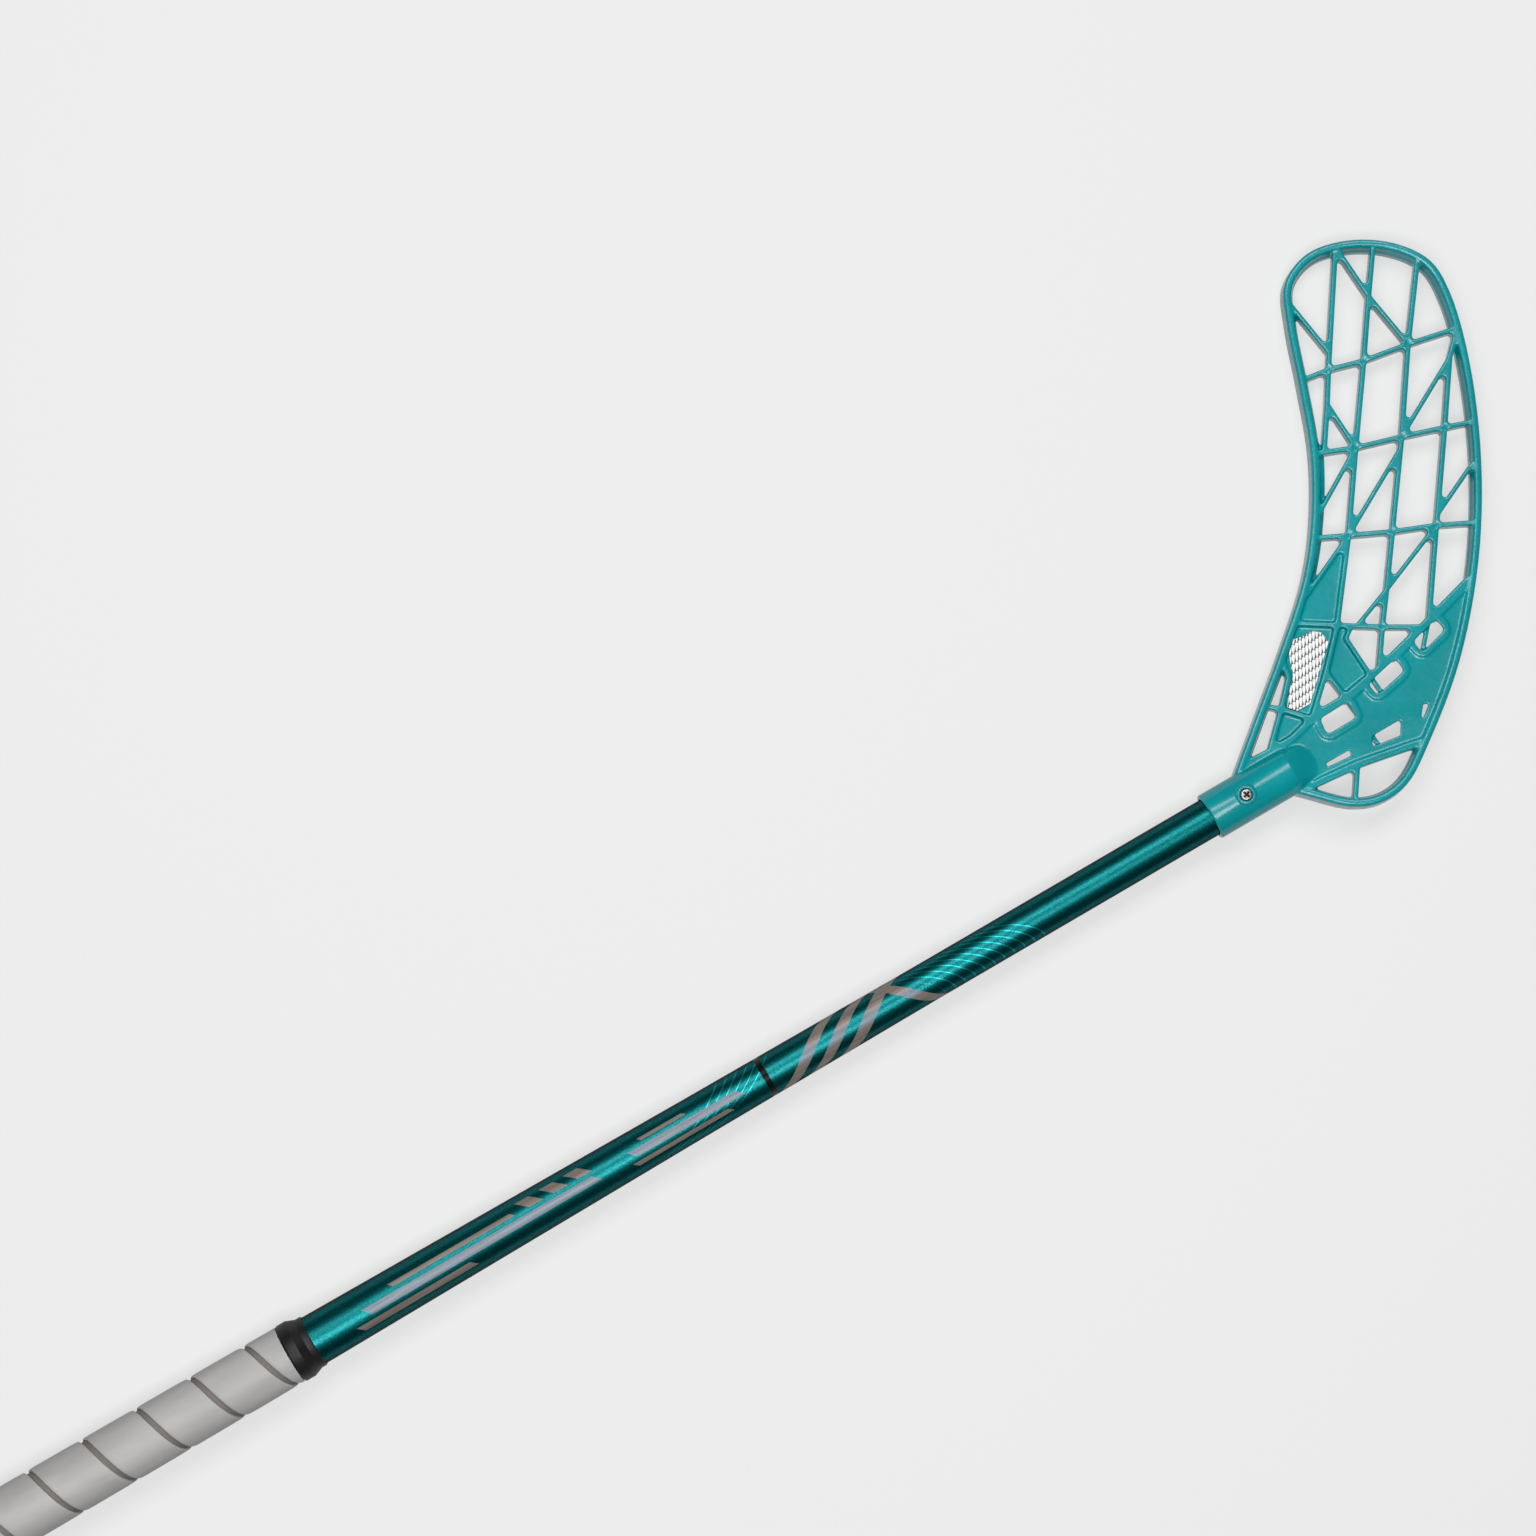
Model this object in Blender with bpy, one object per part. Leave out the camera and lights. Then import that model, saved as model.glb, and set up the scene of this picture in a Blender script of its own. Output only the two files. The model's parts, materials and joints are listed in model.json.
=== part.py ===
"""Floorball stick, lying face up as it rests on a floor: the butt and the blade's toe touch it.

The layout below is in millimetres, in the stick's own frame: +X along the shaft from the butt to the blade,
with x = 0 at the mouth of the blade's hosel, +Y towards the toe, +Z out of the blade's hollow face. The empty
that carries every piece turns the stick about its shaft until the toe touches the floor, and moves the origin
to the middle of the bottom of its box.
"""

import math

import bmesh
import bpy
import numpy as np
from mathutils import Vector
from mathutils.geometry import tessellate_polygon

MM = 0.001

# Play between two pieces that touch on the real stick
PLAY = 0.3

# Shaft, a hollow tapered tube
SHAFT_LENGTH = 870.0
SHAFT_WALL = 1.4
SOCKET_DEPTH = 44.0
LOWER_OD = 20.2
LOWER_RUN = 165.0
WAIST_OD = 21.8
WAIST_RUN = 300.0
NECK_OD = 26.0
PALM_OD = 27.7
PALM_BACK = 155.0
BUTT_OD = 28.2
SHAFT_SIDES = 36

# Grip: a wound band, the tape that holds its end, and the rubber ring over that
GRIP_LENGTH = 305.0
BAND_THICKNESS = 1.95
BAND_PITCH = 30.8
BAND_GROOVE = 3.0
BAND_EDGE = 1.1
BAND_EDGE_DROP = 0.9
BAND_START_TURN = 0.276
BAND_TURN_POINTS = 24
RING_LENGTH = 13.6
RING_OD = 31.3
RING_LIP_OD = 27.5
RING_LIP_LENGTH = 4.2
RING_SLOPE_LENGTH = 3.0
RING_EDGE = 0.5
HOLDING_TAPE_THICKNESS = 0.6

# End cap at the butt
CAP_OD = 33.8
CAP_THICKNESS = 3.6
CAP_ROUND = 1.2
CAP_PLUG_LENGTH = 22.0
CAP_PLUG_WALL = 2.2
CAP_PLUG_CHAMFER = 0.8

# Hosel, the blade's socket for the shaft
HOSEL_OD = 24.7
HOSEL_TUBE_LENGTH = 47.0
HOSEL_NOSE_LENGTH = 16.0
HOSEL_NOSE_HEIGHT = 5.0
HOSEL_NOSE_NARROWING = 0.14
HOSEL_NOSE_STEPS = 3
HOSEL_EDGE = 0.5
HOSEL_SIDES = 32

# Screws that hold the blade, one on each face of the hosel
SCREW_FACES = ((1, "front"), (-1, "back"))
SCREW_X = 20.3
SCREW_HEAD_OD = 6.0
SCREW_HEAD_HEIGHT = 1.9
SCREW_HEAD_EDGE = 1.0
SCREW_SHANK_OD = 3.5
SCREW_SHANK_LENGTH = 7.0
SCREW_POINT_LENGTH = 1.6
SCREW_TIP_RADIUS = 0.35
SCREW_SIDES = 20
SCREW_DOME_SHARES = (1.0, 0.8, 0.45, 0.0)
CROSS_LENGTH = 3.4
CROSS_WIDTH = 0.9
CROSS_DEPTH = 1.1
BOSS_OD = 10.2
BOSS_RISE = 0.9
BOSS_SEAT_DEPTH = 1.6
BOSS_EDGE = 0.5
BOSS_ROOT = 2.5
BOSS_SIDES = 28

# Blade: points are (across, along), along running from the hosel's mouth to the toe at the lie angle
LIE_ANGLE = math.radians(60.0)
BLADE_LENGTH = 292.0
HOOK_START = 20.0
HOOK_RISE = 20.0
RIM_WIDTH = 4.2
RIM_FRONT = 5.2
RIM_DEPTH = 12.6
RIM_DRAFT = 1.2
RIM_OUTER_DRAFT = 0.5
RIM_ROUND = 1.4
RIM_BACK_CHAMFER = 0.6
RIM_STEPS = 6
LEDGE_FROM = 70.0
LEDGE_TO = 184.6
LEDGE_ACROSS = 60.0
LEDGE_WIDTH = 2.1
LEDGE_HEIGHT = -1.0
RIB_WIDTH = 2.7
RIB_FRONT = 4.6
RIB_BACK = -4.4
RIB_ROUND = 0.45
CROSS_RIB_WIDTH = 2.5
DIAGONAL_WIDTH = 2.3
BRACE_WIDTH = 5.0
LOWER_BRACE_WIDTH = 4.0
FLANGE_WIDTH = 3.8
WEB_THICKNESS = 2.0
CORNER_RADIUS = 1.5
CORNER_STEPS = 3
SHARPEST_SMOOTH_TURN = math.radians(14.0)

# The rim's middle line, from the hosel round the toe and the heel back into the hosel
RIM = (
    (13.5, 18.0), (25.0, 48.0), (37.3, 80.0), (50.8, 120.0), (55.3, 150.0), (55.2, 185.0),
    (49.4, 220.0), (43.4, 251.0), (42.3, 269.5), (52.5, 283.3), (72.0, 289.8), (95.0, 288.6),
    (113.0, 280.2), (122.5, 265.0), (132.4, 230.0), (138.0, 180.0), (136.1, 130.0), (126.0, 80.0),
    (110.5, 40.0), (98.5, 17.5), (86.0, 8.8), (72.0, 6.9), (50.0, 12.3), (40.0, 15.0),
)

# Where ribs meet: a letter for the long rib, counted from the inner edge, and a number for the cross rib
JUNCTIONS = {
    "inner1": (49.3, 221.7), "a1": (62.6, 227.0), "b1": (80.6, 231.5), "c1": (103.2, 239.8),
    "outer1": (127.0, 247.5), "inner2": (55.6, 184.5), "a2": (60.2, 185.2), "b2": (76.3, 187.5),
    "c2": (99.7, 193.0), "d2": (121.6, 197.6), "outer2": (137.2, 200.6), "inner3": (55.0, 141.5),
    "b3": (72.3, 143.0), "c3": (94.6, 144.8), "d3": (117.0, 148.0), "outer3": (137.5, 149.3),
    "inner4": (44.8, 98.0), "b4": (66.0, 97.3), "c4": (88.9, 96.3), "brace4": (109.9, 96.3),
    "top_a": (66.3, 288.5), "top_b": (85.5, 290.0), "top_c": (108.0, 283.5), "a_high": (63.1, 235.5),
    "b_high": (83.1, 264.0), "d_high": (124.3, 233.0), "rim_high": (42.0, 261.5),
    "a_mid": (61.9, 209.5), "c_mid": (99.1, 187.0), "rim_mid": (55.3, 150.6),
    "outer_mid": (138.0, 182.5), "d_mid": (117.6, 153.5), "c_low": (91.3, 115.3),
    "rim_low": (48.8, 108.0), "cross4_low": (76.0, 96.8), "cross4_web": (73.3, 96.9),
    "web_bend": (70.3, 90.5), "brace_web": (83.0, 70.9), "b_web": (60.0, 73.5),
    "brace_low": (70.0, 60.0), "hub": (52.5, 49.5), "brace_c": (86.8, 73.9), "brace_d": (112.6, 98.9),
    "brace_outer": (134.0, 121.5), "rim_e": (38.0, 80.5), "e_bend": (40.9, 70.5), "e_low": (37.0, 54.6),
    "inner5": (28.3, 56.3), "f_low": (30.6, 32.7), "flange_inner": (17.2, 25.0),
    "flange_mid": (42.2, 39.4), "low_outer": (108.5, 38.9), "low_mid": (75.2, 26.4),
    "low_inner": (46.5, 13.6), "heel": (73.6, 6.9),
}

# Ribs by the junctions that they run through
LONG_RIBS = (
    ("top_a", "a_high", "a1", "a_mid", "a2"),
    ("top_b", "b_high", "b1", "b2", "b3", "b4", "b_web", "hub"),
    ("top_c", "c1", "c2", "c_mid", "c3", "c_low", "c4", "brace_c"),
    ("outer1", "d_high", "d2", "d_mid", "d3", "brace_d"),
    ("rim_e", "e_bend", "e_low", "f_low"),
    ("low_mid", "heel"),
)
CROSS_RIBS = (
    ("inner1", "a1", "b1", "c1", "outer1"),
    ("inner2", "a2", "b2", "c2", "d2", "outer2"),
    ("inner3", "b3", "c3", "d3", "outer3"),
    ("inner4", "b4", "cross4_web", "cross4_low", "c4", "brace4"),
    ("inner5", "e_low", "hub"),
)
DIAGONALS = (
    ("rim_high", "a_high"), ("top_a", "b_high", "c1"), ("d_high", "c2"), ("a_mid", "b2", "rim_mid"),
    ("c_mid", "b3", "rim_low"), ("outer_mid", "d_mid"), ("d3", "c_low", "cross4_low"),
    ("cross4_web", "web_bend", "brace_web"), ("b_web", "brace_low"),
)
BRACE = ("hub", "brace_low", "brace_web", "brace_c", "brace4", "brace_d", "brace_outer")
LOWER_BRACE = ("low_outer", "low_mid", "low_inner")
FLANGE = ("flange_inner", "f_low", "flange_mid", "hub")

# Cells closed by a thin web: a point inside each, and the height of the web's front
WEBS = {
    "sweet_spot": ((60.0, 112.0), 3.0),
    "neck": ((70.0, 78.0), 2.0),
    "inlay": ((50.0, 85.0), 2.2),
    "pocket": ((40.0, 46.0), 0.6),
    "heel": ((104.0, 60.0), 3.6),
}

# Vents through the heel web, each by its corners, in a row that cuts into the brace, with flat raised borders
VENTS = (
    ((56.6, 49.7), (59.9, 41.4), (75.0, 50.4), (70.7, 58.4)),
    ((81.3, 67.4), (85.6, 61.4), (99.6, 73.9), (95.4, 80.3)),
    ((104.4, 88.8), (108.8, 83.2), (120.6, 94.8), (116.0, 100.2)),
)
VENT_CORNER = 2.2
VENT_BORDER = 3.4
VENT_BORDER_RISE = 0.8
VENT_BORDER_ROOT = 0.6

# Openings by the lower brace, each by its corners
LOW_OPENINGS = (
    ((59.3, 26.9), (59.9, 25.2), (71.9, 30.8), (71.5, 33.8)),
    ((82.8, 40.7), (83.1, 35.4), (97.1, 41.1), (97.6, 49.2)),
    ((108.0, 50.5), (109.0, 50.0), (112.0, 57.4), (109.1, 56.8)),
)
LOW_OPENING_CORNER = 0.7

# Ribs on the back of the heel web, each from a place of the brace to a point of the lower brace, and how far
# they reach into the web
BACK_RIBS = (("brace_low", (89.0, 32.5)), ("brace_web", (105.5, 38.5)), ("brace_d", (99.2, 36.5)))
BACK_RIB_BACK = -1.9
BACK_RIB_OVERLAP = 0.4

# Inlay: a thin textured plate on its web
INLAY_THICKNESS = 0.7
INLAY_MARGIN = 0.4
INLAY_CORNER = 0.6
INLAY = (
    (43.6, 90.3), (45.7, 90.6), (49.5, 92.3), (53.2, 94.4), (57.7, 93.6), (61.4, 88.7),
    (60.2, 84.6), (57.5, 76.5), (54.1, 64.5), (51.7, 57.4), (45.2, 53.7), (40.0, 55.5),
    (40.6, 61.3), (42.4, 68.8), (43.2, 71.1), (41.7, 78.9), (41.3, 83.1), (42.8, 88.0),
)

# Smallest sizes that count in the layout
SHORTEST_SIDE = 0.05
SMALLEST_OPENING = 2.0
SNAP_DISTANCE = 1.05
ALIKE = 0.02
MOST_CORNER_SHARE = 0.46

# How far a cutter runs past what it cuts
CUT_PAST = 2.0

# Points of a mesh closer than this, in metres, are one, and edges that turn more than this stay sharp
SAME_POINT = 1e-7
SHARP_EDGE = math.radians(35.0)

# Steepest turn about the shaft that is tried, and how often the range of turns is halved
STEEPEST_TURN = math.radians(30.0)
HALVINGS = 50

COLOURS = {
    "blade_plastic": ((0.012, 0.262, 0.287), 0.36, 0.0),
    "inlay_silver": ((0.78, 0.80, 0.80), 0.35, 0.2),
    "shaft_paint": ((0.003, 0.110, 0.122), 0.28, 0.6),
    "grip_band": ((0.48, 0.46, 0.44), 0.55, 0.0),
    "holding_tape": ((0.02, 0.02, 0.02), 0.5, 0.0),
    "ring_rubber": ((0.012, 0.012, 0.013), 0.6, 0.0),
    "cap_plastic": ((0.02, 0.02, 0.022), 0.5, 0.0),
    "screw_steel": ((0.42, 0.40, 0.39), 0.3, 1.0),
}


def clear_scene():
    for obj in list(bpy.data.objects):
        bpy.data.objects.remove(obj, do_unlink=True)


def material(name):
    found = bpy.data.materials.get(name)
    if found:
        return found
    colour, roughness, metallic = COLOURS[name]
    made = bpy.data.materials.new(name)
    made.use_nodes = True
    shader = made.node_tree.nodes["Principled BSDF"]
    shader.inputs["Base Color"].default_value = (*colour, 1.0)
    shader.inputs["Roughness"].default_value = roughness
    shader.inputs["Metallic"].default_value = metallic
    return made


def add(name, points, faces, finish, origin=(0.0, 0.0, 0.0), helper=False):
    """A mesh object from points in millimetres, with its origin at a point of the stick's frame."""
    origin = np.array(origin, float)
    mesh = bpy.data.meshes.new(name)
    mesh.from_pydata([tuple((np.array(p, float) - origin) * MM) for p in points], [], faces)
    bm = bmesh.new()
    bm.from_mesh(mesh)
    bmesh.ops.remove_doubles(bm, verts=bm.verts, dist=SAME_POINT)
    bmesh.ops.recalc_face_normals(bm, faces=bm.faces)
    bm.to_mesh(mesh)
    bm.free()
    mesh.shade_smooth()
    mesh.set_sharp_from_angle(angle=SHARP_EDGE)
    obj = bpy.data.objects.new(name, mesh)
    bpy.context.scene.collection.objects.link(obj)
    obj.location = origin * MM
    if finish:
        mesh.materials.append(material(finish))
    if helper:
        obj.hide_render = True
        obj.display_type = "WIRE"
    return obj


def boolean(obj, other, operation):
    modifier = obj.modifiers.new(other.name, "BOOLEAN")
    modifier.operation = operation
    modifier.solver = "EXACT"
    modifier.object = other


def turned(profile, sides, axis="X", centre=(0.0, 0.0, 0.0), phase=0.0):
    """Points and faces of a turned solid. The profile of (along, radius) closes on itself, or on the axis."""
    centre = np.array(centre, float)
    points, rings = [], []
    for along, radius in profile:
        count = 1 if radius == 0 else sides
        ring = []
        for i in range(count):
            angle = 2 * math.pi * (i + phase) / sides
            round_part = (radius * math.cos(angle), radius * math.sin(angle))
            offset = (along, *round_part) if axis == "X" else (*round_part, along)
            ring.append(len(points))
            points.append(centre + offset)
        rings.append(ring)
    open_ended = len(rings[0]) == 1
    faces = []
    for k in range(len(rings) - 1 if open_ended else len(rings)):
        first, second = rings[k], rings[(k + 1) % len(rings)]
        for i in range(sides):
            j = (i + 1) % sides
            a, b = i % len(first), j % len(first)
            c, d = j % len(second), i % len(second)
            faces.append(tuple(dict.fromkeys((first[a], first[b], second[c], second[d]))))
    return points, [face for face in faces if len(face) > 2]


def swept(rings):
    """Points and faces of a solid through rings of the same number of points, closed by its end rings."""
    size = len(rings[0])
    points = [point for ring in rings for point in ring]
    faces = []
    for k in range(len(rings) - 1):
        for i in range(size):
            j = (i + 1) % size
            faces.append((k * size + i, k * size + j, (k + 1) * size + j, (k + 1) * size + i))
    faces.append(tuple(range(size)))
    faces.append(tuple(range((len(rings) - 1) * size, len(rings) * size)))
    return points, faces


def shaft_radius(x):
    """The shaft's outer radius at x, from its tapering stations."""
    neck = shaft_butt() + GRIP_LENGTH
    stations = (
        (shaft_butt(), BUTT_OD), (neck - PALM_BACK, PALM_OD), (neck, NECK_OD), (-WAIST_RUN, WAIST_OD),
        (-LOWER_RUN, LOWER_OD), (SOCKET_DEPTH, LOWER_OD),
    )
    return np.interp(x, [s[0] for s in stations], [s[1] / 2 for s in stations])


def shaft_butt():
    return SOCKET_DEPTH - SHAFT_LENGTH


def ring_back():
    """Where the rubber ring ends, towards the butt."""
    return shaft_butt() + GRIP_LENGTH - RING_LENGTH


def make_shaft(screw_holes):
    neck = shaft_butt() + GRIP_LENGTH
    stations = (shaft_butt(), neck - PALM_BACK, neck, -WAIST_RUN, -LOWER_RUN, SOCKET_DEPTH)
    outer = [(x, shaft_radius(x)) for x in stations]
    inner = [(x, shaft_radius(x) - SHAFT_WALL) for x in reversed(stations)]
    shaft = add("shaft", *turned(outer + inner, SHAFT_SIDES), "shaft_paint")
    for hole in screw_holes:
        boolean(shaft, hole, "DIFFERENCE")
    return shaft


def band_rings():
    """The grip band's cross sections along its helix. Both ends are cut square to the shaft."""
    start = shaft_butt()
    end = ring_back() - PLAY
    half = (BAND_PITCH - BAND_GROOVE) / 2
    narrowest = 2 * BAND_EDGE
    first = start - half + narrowest
    last = end + half - narrowest
    turns = (last - first) / BAND_PITCH
    count = int(turns * BAND_TURN_POINTS) + 1
    section = (
        (-half, 0.0), (-half, BAND_THICKNESS - BAND_EDGE_DROP), (-half + BAND_EDGE, BAND_THICKNESS),
        (half - BAND_EDGE, BAND_THICKNESS), (half, BAND_THICKNESS - BAND_EDGE_DROP), (half, 0.0),
    )
    rings = []
    for i in range(count + 1):
        turn = turns * i / count
        angle = 2 * math.pi * (turn + BAND_START_TURN)
        ring = []
        for k, (offset, height) in enumerate(section):
            inset = BAND_EDGE if k in (2, 3) else 0.0
            x = min(max(first + turn * BAND_PITCH + offset, start + inset), end - inset)
            radius = shaft_radius(x) + PLAY + height
            ring.append((x, radius * math.cos(angle), radius * math.sin(angle)))
        rings.append(ring)
    return rings


def least_gap(rings):
    """The least distance between one turn's trailing edge and the leading edge of the turn before it."""
    leading = np.array([ring[-1] for ring in rings])
    trailing = np.array([ring[0] for ring in rings])
    nearest = math.inf
    for i in range(len(rings)):
        later = trailing[i + BAND_TURN_POINTS // 2:]
        if len(later):
            nearest = min(nearest, np.linalg.norm(later - leading[i], axis=1).min())
    return nearest


def make_grip():
    rings = band_rings()
    print(f"grip band: least gap to itself {least_gap(rings):.2f} mm over {len(rings)} sections")
    return add("grip_band", *swept(rings), "grip_band")


def make_holding_tape():
    start = ring_back() + PLAY
    end = ring_back() + RING_LENGTH - RING_LIP_LENGTH - RING_SLOPE_LENGTH
    inner = shaft_radius(start) + PLAY
    outer = inner + HOLDING_TAPE_THICKNESS
    profile = ((start, outer), (end, outer), (end, inner), (start, inner))
    return add("holding_tape", *turned(profile, SHAFT_SIDES), "holding_tape")


def make_ring():
    """The rubber ring: a wide part over the band's end, then a slope down to a lip on the shaft."""
    back = ring_back()
    front = back + RING_LENGTH
    lip = front - RING_LIP_LENGTH
    step = lip - RING_SLOPE_LENGTH
    tape = shaft_radius(back) + PLAY + HOLDING_TAPE_THICKNESS + PLAY
    neck = shaft_radius(back) + PLAY
    profile = (
        (back, RING_OD / 2 - RING_EDGE), (back + RING_EDGE, RING_OD / 2), (step - RING_EDGE, RING_OD / 2),
        (lip, RING_LIP_OD / 2), (front - RING_EDGE, RING_LIP_OD / 2), (front, RING_LIP_OD / 2 - RING_EDGE),
        (front, neck), (step + PLAY, neck), (step + PLAY, tape), (back, tape),
    )
    return add("grip_ring", *turned(profile, SHAFT_SIDES), "ring_rubber")


def make_cap():
    """The butt's cap: a rounded disc against the shaft's end, on a hollow plug inside it."""
    seat = shaft_butt() - PLAY
    back = seat - CAP_THICKNESS
    outer = CAP_OD / 2
    plug = shaft_radius(shaft_butt()) - SHAFT_WALL - PLAY
    tip = shaft_butt() + CAP_PLUG_LENGTH
    middle = CAP_ROUND * (1 - math.sqrt(0.5))
    profile = (
        (back, 0.0), (back, outer - CAP_ROUND), (back + middle, outer - middle), (back + CAP_ROUND, outer),
        (seat, outer), (seat, plug), (tip - CAP_PLUG_CHAMFER, plug), (tip, plug - CAP_PLUG_CHAMFER),
        (tip, plug - CAP_PLUG_WALL), (seat, plug - CAP_PLUG_WALL), (seat, 0.0),
    )
    return add("end_cap", *turned(profile, SHAFT_SIDES), "cap_plastic")


def between(first, second, start, end, at):
    """The point between two points that are passed at the times start and end."""
    share = (at - start) / (end - start)
    return first * (1 - share) + second * share


def smooth_curve(points, steps):
    """A centripetal Catmull-Rom curve through the points."""
    points = [np.array(p, float) for p in points]
    line = [2 * points[0] - points[1], *points, 2 * points[-1] - points[-2]]
    result = []
    for k in range(1, len(line) - 2):
        p = line[k - 1:k + 3]
        t = [0.0]
        for i in range(3):
            t.append(t[-1] + math.sqrt(np.linalg.norm(p[i + 1] - p[i])))
        for s in range(steps):
            at = t[1] + (t[2] - t[1]) * s / steps
            a = [between(p[i], p[i + 1], t[i], t[i + 1], at) for i in range(3)]
            b = [between(a[i], a[i + 1], t[i], t[i + 2], at) for i in range(2)]
            result.append(between(b[0], b[1], t[1], t[2], at))
    result.append(points[-1])
    return result


def nearest_on_line(line, point):
    """The nearest point of an open line, and where in its list it would go."""
    best = (math.inf, None, None)
    for i in range(len(line) - 1):
        step = line[i + 1] - line[i]
        share = min(max(np.dot(point - line[i], step) / np.dot(step, step), 0.0), 1.0)
        foot = line[i] + share * step
        distance = np.linalg.norm(point - foot)
        if distance < best[0]:
            best = (distance, foot, i + 1)
    return best


def blade_network():
    """The rim line with its junctions on it, where ribs meet, and half widths by pair of places."""
    line = smooth_curve(RIM, RIM_STEPS)
    places = {name: np.array(point, float) for name, point in JUNCTIONS.items()}
    on_rim = {}
    for name, point in places.items():
        distance, foot, _ = nearest_on_line(line, point)
        if distance < RIM_WIDTH / 2:
            on_rim[name] = foot
    for name, foot in on_rim.items():
        _, _, index = nearest_on_line(line, foot)
        near = [i for i, p in enumerate(line) if np.linalg.norm(p - foot) < SNAP_DISTANCE]
        if near:
            line[near[0]] = foot
        else:
            line.insert(index, foot)
        places[name] = foot
    names = []
    for i, point in enumerate(line):
        match = [name for name, foot in on_rim.items() if foot is point]
        names.append(match[0] if match else f"rim{i}")
        places[names[-1]] = point
    widths = {}

    def join(run, width):
        for first, second in zip(run, run[1:]):
            widths[first, second] = widths[second, first] = width / 2

    join(names, RIM_WIDTH)
    join((names[-1], names[0]), FLANGE_WIDTH)
    for runs, width in ((LONG_RIBS, RIB_WIDTH), (CROSS_RIBS, CROSS_RIB_WIDTH), (DIAGONALS, DIAGONAL_WIDTH)):
        for run in runs:
            join(run, width)
    join(BRACE, BRACE_WIDTH)
    join(LOWER_BRACE, LOWER_BRACE_WIDTH)
    join(FLANGE, FLANGE_WIDTH)
    return line, places, widths


def cells(places, widths):
    """The closed cells of the network, each a list of place names running anticlockwise."""
    around = {}
    for first, second in widths:
        around.setdefault(first, []).append(second)
    for name, others in around.items():
        others.sort(key=lambda other: math.atan2(*reversed(places[other] - places[name])))
    left = set(widths)
    found = []
    while left:
        start = min(left)
        walk = []
        step = start
        while step in left:
            left.remove(step)
            walk.append(step[0])
            others = around[step[1]]
            step = (step[1], others[others.index(step[0]) - 1])
        if area([places[name] for name in walk]) > 0:
            found.append(walk)
    return found


def area(loop):
    loop = np.array(loop)
    ahead = np.roll(loop, -1, axis=0)
    return 0.5 * float(np.sum(loop[:, 0] * ahead[:, 1] - ahead[:, 0] * loop[:, 1]))


def inside(point, loop):
    hits = 0
    for first, second in zip(loop, loop[1:] + loop[:1]):
        if (first[1] > point[1]) != (second[1] > point[1]):
            share = (point[1] - first[1]) / (second[1] - first[1])
            hits += first[0] + share * (second[0] - first[0]) > point[0]
    return hits % 2 == 1


def left_of(direction):
    return np.array((-direction[1], direction[0]))


def meeting(first, second):
    """Where two lines cross, each a point and a direction, or the second's point if they run alike."""
    (p, d), (q, e) = first, second
    cross = d[0] * e[1] - d[1] * e[0]
    if abs(cross) < ALIKE:
        return (p + d * np.dot(q - p, d) + q) / 2
    return p + d * ((q[0] - p[0]) * e[1] - (q[1] - p[1]) * e[0]) / cross


def inset_loop(walk, places, widths):
    """The cell's opening between its ribs: each side moved in by its rib's half width."""
    sides = []
    for first, second in zip(walk, walk[1:] + walk[:1]):
        direction = places[second] - places[first]
        direction /= np.linalg.norm(direction)
        offset = left_of(direction) * widths[first, second]
        sides.append((places[first] + offset, direction, places[second] + offset))
    while len(sides) > 2:
        corners = []
        for k, side in enumerate(sides):
            before = sides[k - 1]
            corners.append(meeting((before[2], before[1]), (side[0], side[1])))
        runs = [np.dot(corners[(k + 1) % len(sides)] - corners[k], sides[k][1]) for k in range(len(sides))]
        worst = int(np.argmin(runs))
        if runs[worst] > SHORTEST_SIDE:
            return corners
        del sides[worst]
    return []


def rounded(loop, radius):
    """The loop with its corners cut by arcs. Points of a smooth bend stay as they are."""
    result = []
    for k, corner in enumerate(loop):
        back = loop[k - 1] - corner
        ahead = loop[(k + 1) % len(loop)] - corner
        reach = MOST_CORNER_SHARE * min(np.linalg.norm(back), np.linalg.norm(ahead))
        back /= np.linalg.norm(back)
        ahead /= np.linalg.norm(ahead)
        opening = math.acos(max(-1.0, min(1.0, float(np.dot(back, ahead)))))
        turn = math.pi - opening
        if turn < SHARPEST_SMOOTH_TURN:
            result.append(corner)
            continue
        cut = min(radius / math.tan(opening / 2), reach)
        middle = (back + ahead) / np.linalg.norm(back + ahead)
        arc_radius = cut * math.tan(opening / 2)
        centre = corner + middle * math.hypot(cut, arc_radius)
        start = corner + back * cut - centre
        if start[0] * (corner - centre)[1] - start[1] * (corner - centre)[0] < 0:
            turn = -turn
        for s in range(CORNER_STEPS + 1):
            angle = turn * s / CORNER_STEPS
            result.append(centre + start * math.cos(angle) + left_of(start) * math.sin(angle))
    return result


def grown(loop, distance):
    """Each point of the loop moved outwards from what it encloses."""
    result = []
    for k, point in enumerate(loop):
        tangent = loop[(k + 1) % len(loop)] - loop[k - 1]
        result.append(point - left_of(tangent / np.linalg.norm(tangent)) * distance)
    return result


def hook_height(along):
    share = np.maximum(0.0, (along - HOOK_START) / (BLADE_LENGTH - HOOK_START))
    return HOOK_RISE * share * share


def placed(across, along, height):
    """A point of the blade's layout, in the stick's frame, lifted by the blade's hook."""
    return (
        along * math.cos(LIE_ANGLE) + across * math.sin(LIE_ANGLE),
        along * math.sin(LIE_ANGLE) - across * math.cos(LIE_ANGLE),
        height + float(hook_height(along)),
    )


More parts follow.
